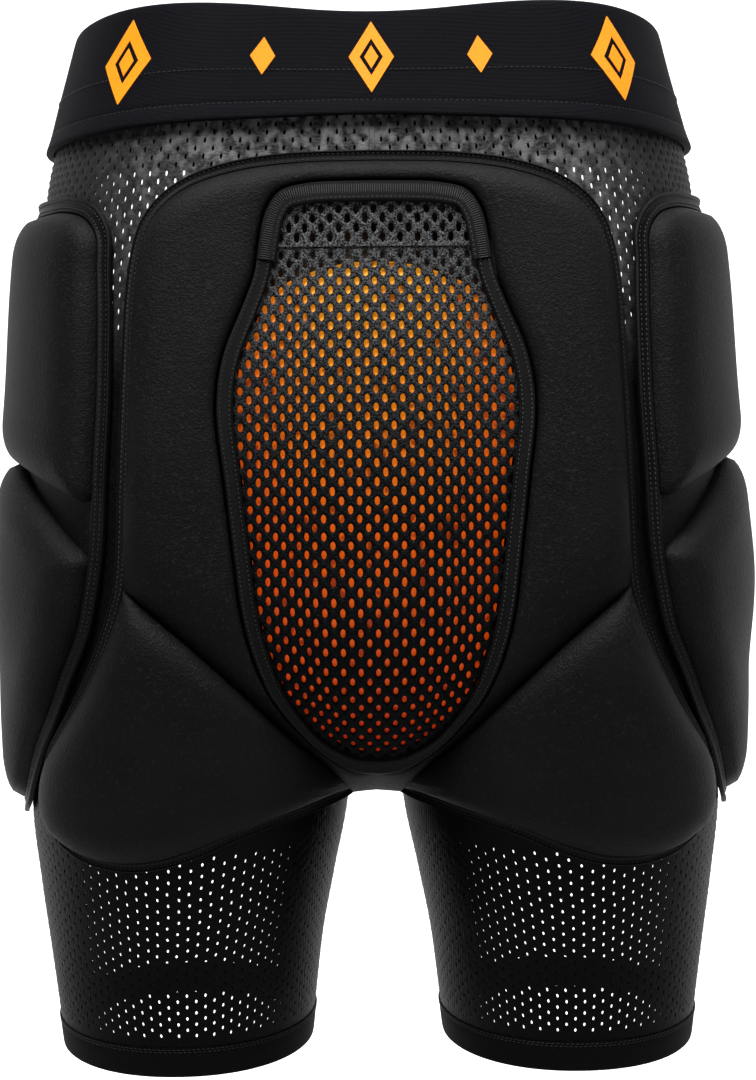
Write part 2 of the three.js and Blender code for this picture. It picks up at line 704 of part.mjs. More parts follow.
// Half width of the opening at a height, less a clearance
function openHalfAt(z, clearance) {
  for (let i = 1; i < windowSide.length; i += 1) {
    const [high, low] = [windowSide[i - 1], windowSide[i]];
    if (z <= high.y && z > low.y) {
      return THREE.MathUtils.mapLinear(z, low.y, high.y, low.x, high.x) - clearance;
    }
  }
  return 0;
}

const netTop = innerTop - flapHeight;
const netBottom = innerBottom + sheetMargin;

// Share of the insert's dome at a place: one in the middle, none at the window's edge
function domeAt(x, z) {
  const half = Math.max(openHalfAt(z, 0), 1);
  const rise = THREE.MathUtils.mapLinear(z, netBottom, netTop, -1, 1);
  return Math.max(1 - (x / half) ** 2, 0) * Math.max(1 - rise ** 2, 0);
}

const netLift = (x, z) => netEdgeHeight + netRise * domeAt(x, z);

// Sheet across the window between two heights, with a front and a back at their own lifts.
// Each cell of a pierced sheet has a lozenge cut through it.
function addSheet(name, look, { low, high, rows, columns, clearance, front, back, pierced }) {
  const crowding = pierced ? netCrowding : 1;
  const points = [];
  const triangles = [];
  const placeAt = (i, j) => {
    const z = THREE.MathUtils.lerp(low, high, (j / rows) ** crowding);
    return new THREE.Vector2(openHalfAt(z, clearance) * ((2 * i) / columns - 1), z);
  };
  const pair = ({ x, y }) => {
    points.push(onBody(rearView, x, y, front(x, y)), onBody(rearView, x, y, back(x, y)));
    return points.length - 2;
  };
  const grid = [];
  for (let j = 0; j <= rows; j += 1) {
    grid.push(Array.from({ length: columns + 1 }, (_, i) => pair(placeAt(i, j))));
  }
  const twoSided = (a, b, c) => [[a, b, c], [a + 1, c + 1, b + 1]];
  const wall = (a, b) => quad(a, b, b + 1, a + 1);
  for (let j = 0; j < rows; j += 1) {
    for (let i = 0; i < columns; i += 1) {
      const corners = [grid[j][i], grid[j][i + 1], grid[j + 1][i + 1], grid[j + 1][i]];
      if (!pierced) {
        triangles.push(...twoSided(corners[0], corners[1], corners[2]));
        triangles.push(...twoSided(corners[0], corners[2], corners[3]));
        continue;
      }
      const places = [[i, j], [i + 1, j], [i + 1, j + 1], [i, j + 1]].map(([a, b]) => placeAt(a, b));
      const middle = places.reduce((sum, p) => sum.add(p), new THREE.Vector2()).divideScalar(4);
      const hole = places.map((p, e) => pair(
        middle.clone().lerp(p.clone().lerp(places[(e + 1) % 4], 0.5), netHoleShare)));
      for (let e = 0; e < 4; e += 1) {
        const f = (e + 1) % 4;
        triangles.push(...twoSided(corners[e], corners[f], hole[e]));
        triangles.push(...twoSided(corners[f], hole[f], hole[e]));
        triangles.push(...wall(hole[e], hole[f]));
      }
    }
  }
  for (let i = 0; i < columns; i += 1) {
    triangles.push(...wall(grid[0][i + 1], grid[0][i]), ...wall(grid[rows][i], grid[rows][i + 1]));
  }
  for (let j = 0; j < rows; j += 1) {
    triangles.push(...wall(grid[j][0], grid[j + 1][0]));
    triangles.push(...wall(grid[j + 1][columns], grid[j][columns]));
  }
  addSolid(name, look, points, triangles);
}

function addWindow() {
  addSheet('window_net', looks.net, {
    low: netBottom, high: netTop, rows: netRows, columns: netColumns, clearance: sheetClearance,
    front: (x, z) => netLift(x, z) + netWall, back: netLift, pierced: true });
  addSheet('window_flap', looks.net, {
    low: netTop + pieceGap, high: innerTop - sheetMargin, rows: 2, columns: 6,
    clearance: sheetClearance,
    front: () => netEdgeHeight + 2 * netWall, back: () => netEdgeHeight });
  addSheet('tailbone_insert', looks.insert, {
    low: netBottom + 2 * sheetMargin, high: netTop - insertDrop, rows: netRows,
    columns: netColumns + 1, clearance: 2 * sheetClearance,
    front: (x, z) => netLift(x, z) - sheetClearance,
    back: (x, z) => clearMiddle(new THREE.Vector2(x, z)) });
}

// Hip pads: an upper and a lower pad in one taped outline, with a flat wedge between them at
// the front and rear edges

const hipSplit = hipLow + hipSplitHeight;
const upperFoot = (across) => hipSplit + hipNotch * (1 - (across / hipPadHalfLength) ** 2);
const lowerHead = (across) => hipSplit + hipNotch - pieceGap
  - (hipNotch + hipFlat) * Math.abs(across / hipPadHalfLength) ** hipFlatPower;

// Part of a clockwise outline above (side 1) or below (side -1) a level curve
function cutBy(outline, curve, side) {
  const height = (p) => side * (p.y - curve(p.x));
  const nearest = 4;
  const kept = [];
  let leaving = null;
  let entering = null;
  outline.forEach((p, i) => {
    const q = outline[(i + 1) % outline.length];
    const [a, b] = [height(p), height(q)];
    if (a > nearest) kept.push(p);
    if (a * b >= 0) return;
    const cut = p.clone().lerp(q, a / (a - b));
    if (a > 0) leaving = { cut, at: kept.push(cut) };
    else {
      entering = cut;
      kept.push(cut);
    }
  });
  const along = [1, 2, 3, 4, 5, 6, 7].map((k) => {
    const x = THREE.MathUtils.lerp(leaving.cut.x, entering.x, k / 8);
    return new THREE.Vector2(x, curve(x));
  });
  kept.splice(leaving.at, 0, ...along);
  return kept;
}

function addHipPad(name, side, outline) {
  const middle = outline.reduce((sum, p) => sum.add(p), new THREE.Vector2())
    .divideScalar(outline.length);
  const inset = narrowed(outline, pieceGap / 2);
  addRing(name, looks.pad, rightHipView, inset.map(() => middle), inset,
    domedSection(hipPadThickness, () => 1, hipClear, hipClearMiddle), { side });
}

addCloth('shorts_left', -1);
addCloth('shorts_right', 1);
addWaistband();
addHem('hem_left', -1);
addHem('hem_right', 1);
addRearPad();
addLobe('rear_pad_lobe_left', -1);
addLobe('rear_pad_lobe_right', 1);
addRearTapes();
addWindowTape();
addWindow();
for (const [word, side] of [['left', -1], ['right', 1]]) {
  addHipPad(`hip_pad_upper_${word}`, side, cutBy(hipOutline, upperFoot, 1));
  addHipPad(`hip_pad_lower_${word}`, side, cutBy(hipOutline, lowerHead, -1));
  addTape(`hip_tape_${word}`, rightHipView, hipOutline, hipTapeWidth, hipClear, { side });
}

export default group;
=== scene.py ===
import math

import bpy
import numpy as np
from mathutils import Euler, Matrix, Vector


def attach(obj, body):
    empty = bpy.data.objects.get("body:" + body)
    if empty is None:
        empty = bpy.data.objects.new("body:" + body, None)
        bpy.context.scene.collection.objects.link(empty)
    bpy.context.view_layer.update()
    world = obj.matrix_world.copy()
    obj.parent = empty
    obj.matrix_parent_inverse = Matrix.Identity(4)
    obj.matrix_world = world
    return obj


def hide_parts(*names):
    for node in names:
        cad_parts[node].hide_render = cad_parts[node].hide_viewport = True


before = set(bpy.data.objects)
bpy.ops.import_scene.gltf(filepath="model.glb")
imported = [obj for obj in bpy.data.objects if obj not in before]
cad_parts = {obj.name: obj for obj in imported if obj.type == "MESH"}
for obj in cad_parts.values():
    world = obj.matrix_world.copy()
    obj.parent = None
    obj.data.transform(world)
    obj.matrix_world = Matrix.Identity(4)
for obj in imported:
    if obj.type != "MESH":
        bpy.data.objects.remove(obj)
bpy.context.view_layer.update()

# Padded impact shorts seen from the rear. Sizes are in millimetres in the part's own frame,
# and become metres when a mesh is made.

# Body under the cloth, waistband, hems and pads: the same named sizes as the part's solids
HEM_TO_WAIST = 442.0
HIP_HALF_WIDTH = 161.0
SEAT_DEPTH = 121.0
BELLY_DEPTH = 98.0
HEM_HALF_GAP = 31.5
CROTCH_HALF_GAP = 11.0
RISE = 318.0
BOWL_DEPTH = 105.0
CROTCH_BLEND = 18.0
TORSO_SQUARENESS = 2.4
LEG_SQUARENESS = 2.1
# Depth over which the distance's scale passes from the rear's to the front's
FACE_CHANGE = 30.0

HEM_HEIGHT = 14.0
HEM_WALL = 2.6
HEM_PROUD = 0.5
BAND_HALF_HEIGHT = 24.0
BAND_WALL = 2.4
BAND_CLEARANCE = 1.2
BAND_SAG = 4.0
RIM_WAVE = 2.2
CLOTH_UNDER_BAND = 12.0

PAD_DROP = 42.5
PAD_HALF_WIDTH = 104.5
TIP_ABOVE_CROTCH = 3.0
TIP_HALF_WIDTH = 14.0
CREASE_HEIGHT = 96.0
PAD_THICKNESS = 14.0
PAD_EDGE = 2.6
CREASE_GAP = 0.8
PAD_CLEARANCE = 1.2
CROTCH_CLEARANCE = 3.4
MIDDLE_CLEARANCE = 1.4
LOBE_HALF_WIDTH = 147.0
LOBE_DROP = 22.0
LOBE_TAPE_ROOM = 4.0
TAPE_WIDTH = 5.0
TAPE_THICKNESS = 1.8
WINDOW_TOP_MARGIN = 9.5
WINDOW_SIDE_MARGIN = 38.0
WINDOW_BOTTOM_MARGIN = 18.5
WINDOW_TAPE_WIDTH = 6.8
WINDOW_TAPE_HEIGHT = 12.6
FLAP_HEIGHT = 21.5
NET_EDGE_HEIGHT = 9.5
NET_RISE = 8.0

HIP_FACING = math.radians(12)
HIP_PAD_DROP = 60.0
HIP_PAD_HALF_LENGTH = 80.0
HIP_PAD_HEIGHT = 264.0
HIP_SPLIT_HEIGHT = 140.0
HIP_NOTCH = 15.0
HIP_FLAT = 22.0
HIP_PAD_THICKNESS = 13.0
HIP_TAPE_WIDTH = 6.6
HIP_CLEARANCE = 1.9
TAPE_CLEARANCE = 1.2
PIECE_GAP = 0.3

HEM_EDGE = -HEM_TO_WAIST
HEM_TOP = HEM_EDGE + HEM_HEIGHT
CROTCH_FLOOR = -RISE
CLOTH_TOP = CLOTH_UNDER_BAND - BAND_HALF_HEIGHT
PAD_TOP = -PAD_DROP
PAD_TIP = CROTCH_FLOOR + TIP_ABOVE_CROTCH
CREASE_TOP = PAD_TIP + CREASE_HEIGHT
LOBE_LOW = PAD_TIP - LOBE_DROP
WINDOW_TOP = PAD_TOP - WINDOW_TOP_MARGIN
WINDOW_BOTTOM = PAD_TIP + WINDOW_BOTTOM_MARGIN
WINDOW_HALF_WIDTH = PAD_HALF_WIDTH - WINDOW_SIDE_MARGIN
HIP_LOW = -HIP_PAD_DROP - HIP_PAD_HEIGHT
FAR = 2 * HIP_HALF_WIDTH

# Camera: a long lens behind the shorts, looking slightly down
CAMERA_PLACE = (-15.0, -1050.0, -132.0)
CAMERA_PITCH = math.radians(4.15)
CAMERA_ROLL = math.radians(0.6)
CAMERA_TURN = math.radians(-0.95)
LENS_SHARE = 2234.0 / 1080.0

# Shares of the body's sizes from hem to waist
SECTION_COLUMNS = ("height", "side", "spread", "rear", "front")
SECTIONS = (
    (0.00, 0.922, 1.00, 0.60, 0.716),
    (0.05, 0.937, 0.88, 0.64, 0.735),
    (0.11, 0.956, 0.72, 0.69, 0.785),
    (0.18, 0.978, 0.43, 0.78, 0.836),
    (0.26, 0.997, 0.10, 0.87, 0.897),
    (0.34, 0.995, 0.00, 0.95, 0.949),
    (0.45, 0.985, 0.00, 1.00, 0.990),
    (0.59, 0.957, 0.00, 1.00, 1.000),
    (0.70, 0.925, 0.00, 0.975, 1.000),
    (0.81, 0.906, 0.00, 0.927, 0.990),
    (0.89, 0.884, 0.00, 0.885, 0.980),
    (0.95, 0.848, 0.00, 0.851, 0.969),
    (1.03, 0.789, 0.00, 0.800, 0.950),
    (1.10, 0.738, 0.00, 0.750, 0.935),
)

# Outlines as (across, up) shares, in the order and with the meaning of the part's tables
WINDOW_EDGE = (
    (0.00, 0.000), (0.17, 0.006), (0.31, 0.022), (0.48, 0.052), (0.63, 0.100), (0.73, 0.145),
    (0.82, 0.215), (0.87, 0.280), (0.905, 0.360), (0.955, 0.490), (1.00, 0.620), (0.96, 0.705),
    (0.825, 0.800), (0.765, 0.845), (0.735, 0.900), (0.69, 0.950), (0.60, 0.983), (0.42, 0.996),
    (0.00, 1.000),
)
PAD_SHOULDER = (
    (0.00, 1.000), (0.33, 0.995), (0.54, 0.978), (0.71, 0.945), (0.81, 0.905), (0.875, 0.855),
    (0.91, 0.795), (0.935, 0.70), (0.955, 0.50), (0.975, 0.25), (1.00, 0.000),
)
CREASE = (
    (1.00, 1.00), (0.74, 0.78), (0.55, 0.60), (0.40, 0.44), (0.28, 0.30), (0.15, 0.16),
    (0.00, 0.00),
)
LOBE_SIDE = (
    (0.00, 1.00), (0.08, 0.90), (0.22, 0.77), (0.37, 0.66), (0.58, 0.53), (0.77, 0.43),
    (0.92, 0.34), (1.00, 0.22), (0.97, 0.13), (0.85, 0.06),
)
LOBE_FOOT = (
    (0.95, 0.68), (0.88, 0.89), (0.79, 1.00), (0.70, 1.00), (0.61, 0.90), (0.50, 0.66),
    (0.39, 0.37), (0.28, 0.17), (0.14, 0.03), (0.00, 0.00),
)
HIP_REAR = (
    (0.15, 0.000), (-0.10, 0.028), (-0.28, 0.075), (-0.48, 0.135), (-0.66, 0.190),
    (-0.81, 0.255), (-0.93, 0.320), (-0.985, 0.390), (-1.01, 0.460), (-1.015, 0.530),
    (-1.005, 0.620), (-0.98, 0.720), (-0.94, 0.830), (-0.90, 0.905), (-0.87, 0.955),
    (-0.78, 0.985), (-0.62, 0.998), (-0.30, 1.000), (0.00, 1.000),
)
HIP_FRONT = (
    (0.00, 1.000), (0.30, 1.000), (0.62, 0.990), (0.80, 0.955), (0.90, 0.880), (0.96, 0.780),
    (1.00, 0.640), (1.00, 0.500), (0.97, 0.360), (0.88, 0.220), (0.72, 0.110), (0.45, 0.028),
    (0.15, 0.000),
)


def curve_through(at, value):
    """Monotone curve through a column of a table, level past its ends."""
    at = np.array(at, float)
    value = np.array(value, float)
    rises = np.diff(value) / np.diff(at)
    product = rises[:-1] * rises[1:]
    total = np.where(product > 0, rises[:-1] + rises[1:], 1)
    slopes = np.concatenate([[rises[0]], np.where(product > 0, 2 * product / total, 0), [rises[-1]]])

    def curve(share):
        share = np.clip(share, at[0], at[-1])
        i = np.clip(np.searchsorted(at, share, side="right") - 1, 0, len(at) - 2)
        width = at[i + 1] - at[i]
        t = (share - at[i]) / width
        rest = 1 - t
        return (value[i] * (1 + 2 * t) * rest**2 + value[i + 1] * (3 - 2 * t) * t**2
                + slopes[i] * width * t * rest**2 - slopes[i + 1] * width * t**2 * rest)

    return curve


def section_sizes():
    """The body's four sizes at evenly spaced heights, for quick reading between them."""
    columns = dict(zip(SECTION_COLUMNS, zip(*SECTIONS)))
    heights = np.linspace(0, columns["height"][-1], 2400)
    shares = {name: curve_through(columns["height"], columns[name])(heights)
              for name in SECTION_COLUMNS[1:]}
    return {
        "z": (heights - 1) * HEM_TO_WAIST,
        "side": HIP_HALF_WIDTH * shares["side"],
        "inner": CROTCH_HALF_GAP + (HEM_HALF_GAP - CROTCH_HALF_GAP) * shares["spread"],
        "rear": SEAT_DEPTH * shares["rear"],
        "front": BELLY_DEPTH * shares["front"],
    }


SIZES = section_sizes()


def size_at(name, z):
    return np.interp(z, SIZES["z"], SIZES[name])


def roundness(a, b, power):
    return (np.abs(a) ** power + np.abs(b) ** power) ** (1 / power)


def field(p):
    """Rough signed distance to the body: two legs under a bowl-bottomed torso."""
    x, y, z = p[..., 0], p[..., 1], p[..., 2]
    side = size_at("side", z)
    inner = size_at("inner", z)
    rear, front = size_at("rear", z), size_at("front", z)
    depth = np.where(y < 0, rear, front)
    scale = rear + (front - rear) * np.clip(0.5 + y / FACE_CHANGE, 0, 1)
    leg_centre = (side + inner) / 2
    leg_half = (side - inner) / 2
    leg = ((roundness((np.abs(x) - leg_centre) / leg_half, y / depth, LEG_SQUARENESS) - 1)
           * np.minimum(leg_half, scale))
    sunk = np.maximum(CROTCH_FLOOR + BOWL_DEPTH - z, 0) / BOWL_DEPTH
    bowl = np.sqrt(np.maximum(1 - sunk * sunk, 0.0001))
    torso = ((roundness(x / (side * bowl), y / (depth * bowl), TORSO_SQUARENESS) - 1)
             * np.minimum(side, scale) * bowl + 3 * np.maximum(CROTCH_FLOOR - z, 0))
    mix = np.clip(0.5 + 0.5 * (leg - torso) / CROTCH_BLEND, 0, 1)
    return leg * (1 - mix) + torso * mix - CROTCH_BLEND * mix * (1 - mix)


def unit(v):
    return v / np.maximum(np.linalg.norm(v, axis=-1, keepdims=True), 1e-9)


def normal_at(p):
    step = 0.5
    slopes = [field(p + step * axis) - field(p - step * axis) for axis in np.eye(3)]
    return unit(np.stack(slopes, axis=-1))


def crossing(start, end, steps=80):
    """First crossing of the body's surface from start to end, or the nearest place to it."""
    way = end - start
    first = np.sign(field(start))
    count = len(start)
    low = np.zeros(count)
    high = np.ones(count)
    found = np.zeros(count, bool)
    nearest = np.zeros(count)
    nearest_value = np.full(count, np.inf)
    for i in range(1, steps + 1):
        value = field(start + way * (i / steps))
        hit = ~found & (np.sign(value) != first)
        low[hit] = (i - 1) / steps
        high[hit] = i / steps
        found |= hit
        nearer = ~found & (np.abs(value) < nearest_value)
        nearest[nearer] = i / steps
        nearest_value[nearer] = np.abs(value)[nearer]
    for _ in range(24):
        middle = (low + high) / 2
        same = np.sign(field(start + way * middle[:, None])) == first
        low = np.where(same, middle, low)
        high = np.where(same, high, middle)
    share = np.where(found, (low + high) / 2, nearest)
    return start + way * share[:, None]


# A view is a level direction that an outline is drawn from: out of the body, and across
REAR_VIEW = (np.array([0.0, -1.0, 0.0]), np.array([1.0, 0.0, 0.0]))
HIP_VIEW = (
    np.array([math.cos(HIP_FACING), -math.sin(HIP_FACING), 0.0]),
    np.array([math.sin(HIP_FACING), math.cos(HIP_FACING), 0.0]),
)


def feet_and_normals(view, places):
    """Points of the body's surface under flat places (across, height), and their normals."""
    out, across = view
    middle = places[:, :1] * across + places[:, 1:2] * np.array([0.0, 0.0, 1.0])
    feet = crossing(middle + out * FAR, middle)
    return feet, normal_at(feet)


def on_body(view, places, lift):
    feet, normals = feet_and_normals(view, places)
    return feet + normals * np.broadcast_to(lift, len(places))[:, None]


# Flat outlines


def catmull_rom(points, samples=24):
    """Smooth centripetal curve through flat points, as many points on it."""
    points = np.array(points, float)
    ends = [2 * points[0] - points[1], 2 * points[-1] - points[-2]]
    padded = np.vstack([ends[0], points, ends[1]])
    t = np.linspace(0, 1, samples, endpoint=False)[:, None]
    made = []
    for i in range(1, len(padded) - 2):
        p0, p1, p2, p3 = padded[i - 1:i + 3]
        d0, d1, d2 = (max(np.linalg.norm(b - a), 1e-4) ** 0.5
                      for a, b in ((p0, p1), (p1, p2), (p2, p3)))
        leave = ((p1 - p0) / d0 - (p2 - p0) / (d0 + d1) + (p2 - p1) / d1) * d1
        reach = ((p2 - p1) / d1 - (p3 - p1) / (d1 + d2) + (p3 - p2) / d2) * d1
        made.append(p1 + leave * t + (3 * (p2 - p1) - 2 * leave - reach) * t**2
                    + (2 * (p1 - p2) + leave + reach) * t**3)
    return np.vstack(made + [points[-1:]])


def spaced(line, count, closed=False):
    """count evenly spaced points of a line of points, both ends included unless closed."""
    if closed:
        line = np.vstack([line, line[:1]])
    steps = np.linalg.norm(np.diff(line, axis=0), axis=1)
    along = np.concatenate([[0], np.cumsum(steps)])
    at = np.linspace(0, along[-1], count, endpoint=not closed)
    return np.stack([np.interp(at, along, line[:, i]) for i in range(line.shape[1])], axis=1)


def stretch(points, count):
    return spaced(catmull_rom(points), count + 1)[:-1]


def mirrored(points):
    return (points * np.array([-1.0, 1.0]))[::-1]


def along_of(outline, closed):
    before = np.roll(outline, 1, axis=0)
    after = np.roll(outline, -1, axis=0)
    if not closed:
        before[0] = outline[0]
        after[-1] = outline[-1]
    return unit(after - before)


def narrowed(outline, width, closed=True):
    """Clockwise outline moved inwards by a width, square to itself."""
    along = along_of(outline, closed)
    return outline + width * np.stack([along[:, 1], -along[:, 0]], axis=1)


def outwards(view, outline, width, closed=True):
    """Clockwise outline moved outwards by a width measured on the body's surface."""
    moved = narrowed(outline, -width, closed)
    _, normals = feet_and_normals(view, outline)
    out, across = normals @ view[0], normals @ view[1]
    facing = out / np.hypot(out, across)
    level = outline[:, 0] + (moved[:, 0] - outline[:, 0]) * facing
    return np.stack([level, moved[:, 1]], axis=1)


def distance_to(places, line, closed=False):
    """Distance of flat places from a line of points."""
    ends = np.roll(line, -1, axis=0) if closed else line[1:]
    starts = line if closed else line[:-1]
    way = ends - starts
    size = np.maximum((way**2).sum(1), 1e-9)
    best = np.full(len(places), np.inf)
    for start, step, square in zip(starts, way, size):
        share = np.clip((places - start) @ step / square, 0, 1)
        gap = places - start - share[:, None] * step
        best = np.minimum(best, (gap**2).sum(1))
    return np.sqrt(best)


def shares(table, across_from, across_to, up_from, up_to):
    table = np.array(table, float)
    return np.stack([across_from + table[:, 0] * (across_to - across_from),
                     up_from + table[:, 1] * (up_to - up_from)], axis=1)


SHOULDER_POINTS = shares(PAD_SHOULDER, 0, PAD_HALF_WIDTH, CREASE_TOP, PAD_TOP)
CREASE_POINTS = shares(CREASE, TIP_HALF_WIDTH, PAD_HALF_WIDTH, PAD_TIP, CREASE_TOP)
LOBE_SHOWN = LOBE_HALF_WIDTH - LOBE_TAPE_ROOM
LOBE_SIDE_POINTS = shares(LOBE_SIDE, PAD_HALF_WIDTH, LOBE_SHOWN, LOBE_LOW, CREASE_TOP)
LOBE_FOOT_POINTS = shares(LOBE_FOOT, TIP_HALF_WIDTH, LOBE_SHOWN, PAD_TIP, LOBE_LOW)
WINDOW_POINTS = shares(WINDOW_EDGE, 0, WINDOW_HALF_WIDTH, WINDOW_BOTTOM, WINDOW_TOP)[::-1]
HIP_REAR_POINTS = shares(HIP_REAR, 0, HIP_PAD_HALF_LENGTH, HIP_LOW, HIP_LOW + HIP_PAD_HEIGHT)
HIP_FRONT_POINTS = shares(HIP_FRONT, 0, HIP_PAD_HALF_LENGTH, HIP_LOW, HIP_LOW + HIP_PAD_HEIGHT)
TIP = np.array([0.0, PAD_TIP])

SHOULDER_COUNT = 84
CREASE_COUNT = 44
HALF_COUNT = SHOULDER_COUNT + CREASE_COUNT + 1


def both_sides(right, bottom):
    return np.vstack([right, bottom[None], mirrored(right[1:])])


PAD_OUTLINE = both_sides(
    np.vstack([stretch(SHOULDER_POINTS, SHOULDER_COUNT), stretch(CREASE_POINTS, CREASE_COUNT),
               CREASE_POINTS[-1:]]), TIP)
WINDOW_OUTLINE = both_sides(stretch(WINDOW_POINTS, HALF_COUNT), WINDOW_POINTS[-1])
WINDOW_INNER = narrowed(WINDOW_OUTLINE, WINDOW_TAPE_WIDTH)
HIP_OUTLINE = np.vstack([stretch(HIP_REAR_POINTS, 120), stretch(HIP_FRONT_POINTS, 90)])
HIP_TAPE_EDGE = on_body(HIP_VIEW, outwards(HIP_VIEW, HIP_OUTLINE, PIECE_GAP + HIP_TAPE_WIDTH)[:112],
                        0)


def kept_beside(places, room=0.0):
    """Flat places of the rear pads, held clear of the hip tapes by a room."""
    order = np.argsort(HIP_TAPE_EDGE[:, 2])
    edge = HIP_TAPE_EDGE[order]
    reach = np.interp(places[:, 1], edge[:, 2], edge[:, 0], left=1e6, right=1e6) - TAPE_CLEARANCE - room
    level = np.sign(places[:, 0]) * np.minimum(np.abs(places[:, 0]), reach)
    return np.stack([level, places[:, 1]], axis=1)


def clear(places):
    near = np.maximum(0, 1 - np.linalg.norm(places - TIP, axis=1) / PAD_HALF_WIDTH)
    return PAD_CLEARANCE + CROTCH_CLEARANCE * near


def clear_middle(places):
    return clear(places) + MIDDLE_CLEARANCE


def hip_clear(places):
    return np.full(len(places), HIP_CLEARANCE)


def hip_clear_middle(places):
    return hip_clear(places) + MIDDLE_CLEARANCE


def crown(distance, width, power=2.0):
    """Rounded rise from 0 at an edge to 1 at a width from it."""
    t = np.clip(distance / width, 0, 1)
    return (1 - (1 - t) ** power) ** (1 / power)


# Meshes


def grid_triangles(rows, columns, wrap_rows=False, wrap_columns=False):
    """Triangles over rows of points, whose numbers run along each row."""
    j = np.arange(rows if wrap_rows else rows - 1)
    i = np.arange(columns if wrap_columns else columns - 1)
    j, i = np.meshgrid(j, i, indexing="ij")
    down, right = (j + 1) % rows, (i + 1) % columns
    a, b = j * columns + i, j * columns + right
    c, d = down * columns + right, down * columns + i
    return np.concatenate([np.stack([a, b, c], -1).reshape(-1, 3),
                           np.stack([a, c, d], -1).reshape(-1, 3)])


WELD = 0.002


def welded(points, triangles):
    """Numbers of the first of all equal points, and the triangles that keep an area."""
    _, first, number = np.unique(np.round(points / WELD).astype(np.int64), axis=0,
                                 return_index=True, return_inverse=True)
    triangles = number.reshape(-1)[triangles]
    a, b, c = triangles.T
    return first, triangles[(a != b) & (b != c) & (c != a)]


def used_only(points, triangles):
    used, triangles = np.unique(triangles, return_inverse=True)
    return points[used], triangles.reshape(-1, 3)


def merged(points, triangles):
    """Equal points become one, and triangles without area are left out."""
    first, triangles = welded(points, triangles)
    return used_only(points[first], triangles)


def joined(parts):
    """Several (points, triangles) as one."""
    points, triangles, count = [], [], 0
    for part_points, part_triangles in parts:
        points.append(part_points)
        triangles.append(part_triangles + count)
        count += len(part_points)
    return np.vstack(points), np.vstack(triangles)


def flipped(points, triangles):
    """A mirror image on the left, still facing outwards."""
    return points * np.array([-1.0, 1.0, 1.0]), triangles[:, ::-1]


def sides(shape):
    """The word for each side of the body, with the right side's shape as it belongs there."""
    return ("left", flipped(*shape)), ("right", shape)


def outward(points, triangles):
    a, b, c = (points[triangles[:, k]] for k in range(3))
    volume = (a * np.cross(b, c)).sum()
    return points, triangles if volume > 0 else triangles[:, ::-1]


SOFT_ANGLE = 60
FINE_ANGLE = 50
NET_ANGLE = 80


def make(name, shape, material, node=None, crease_angle=SOFT_ANGLE):
    """Mesh piece in metres with a material, riding on the body's root; it hides the part's node, if one
    is given.
    """
    points, triangles = shape
    mesh = bpy.data.meshes.new(name)
    mesh.vertices.add(len(points))
    mesh.vertices.foreach_set("co", (points * 0.001).astype(np.float32).ravel())
    mesh.loops.add(3 * len(triangles))
    mesh.loops.foreach_set("vertex_index", triangles.astype(np.int32).ravel())
    mesh.polygons.add(len(triangles))
    mesh.polygons.foreach_set("loop_start", np.arange(0, 3 * len(triangles), 3, dtype=np.int32))
    mesh.update(calc_edges=True)
    mesh.polygons.foreach_set("use_smooth", np.ones(len(triangles), bool))
    mesh.set_sharp_from_angle(angle=math.radians(crease_angle))
    mesh.materials.append(material)
    piece = bpy.data.objects.new(name, mesh)
    bpy.context.scene.collection.objects.link(piece)
    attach(piece, "root")
    if node:
        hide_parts(node)
    return piece


def make_stitches(name, shape):
    return make(name, shape, thread_material, crease_angle=FINE_ANGLE)


def tube_triangles(stations, count):
    """Triangles of a tube of closed sections, with its two ends closed."""
    fan = np.array([[0, k + 1, k] for k in range(1, count - 1)])
    return np.vstack([grid_triangles(stations, count, wrap_columns=True), fan,
                      fan[:, ::-1] + (stations - 1) * count])


def ring(view, inner, outer, rows, closed=True):
    """Closed band between two outlines: rows go round its cross-section as (share, lift)."""
    stations = len(outer)
    points = []
    for share, lift in rows:
        places = inner + (outer - inner) * share
        points.append(on_body(view, places, lift(places)))
    points = np.stack(points, axis=1).reshape(-1, 3)
    if closed:
        triangles = grid_triangles(stations, len(rows), wrap_rows=True, wrap_columns=True)
    else:
        triangles = tube_triangles(stations, len(rows))
    return outward(*merged(points, triangles))


def level(value):
    return lambda places: np.full(len(places), float(value))


# Stitches: small pills along a line on the body. Each kind has a pitch, a length and a radius.

BAND_STITCH = (2.3, 1.6, 0.22)
HEM_STITCH = (2.2, 1.5, 0.2)
TAPE_STITCH = (2.1, 1.3, 0.24)
BINDING_STITCH = (1.9, 1.2, 0.24)
HEAD_STITCH = (0.95, 4.6, 0.2)


def pill():
    corners = 5
    turn = 2 * np.pi * np.arange(corners) / corners
    rings = [[(along, np.cos(a), np.sin(a)) for a in turn] for along in (-0.6, 0.6)]
    points = np.array([(-1.0, 0, 0), *rings[0], *rings[1], (1.0, 0, 0)])
    triangles = []
    for k in range(corners):
        here, there = 1 + k, 1 + (k + 1) % corners
        triangles += [(0, there, here), (here, there, there + corners),
                      (here, there + corners, here + corners),
                      (here + corners, there + corners, 2 * corners + 1)]
    return points, np.array(triangles)


PILL = pill()


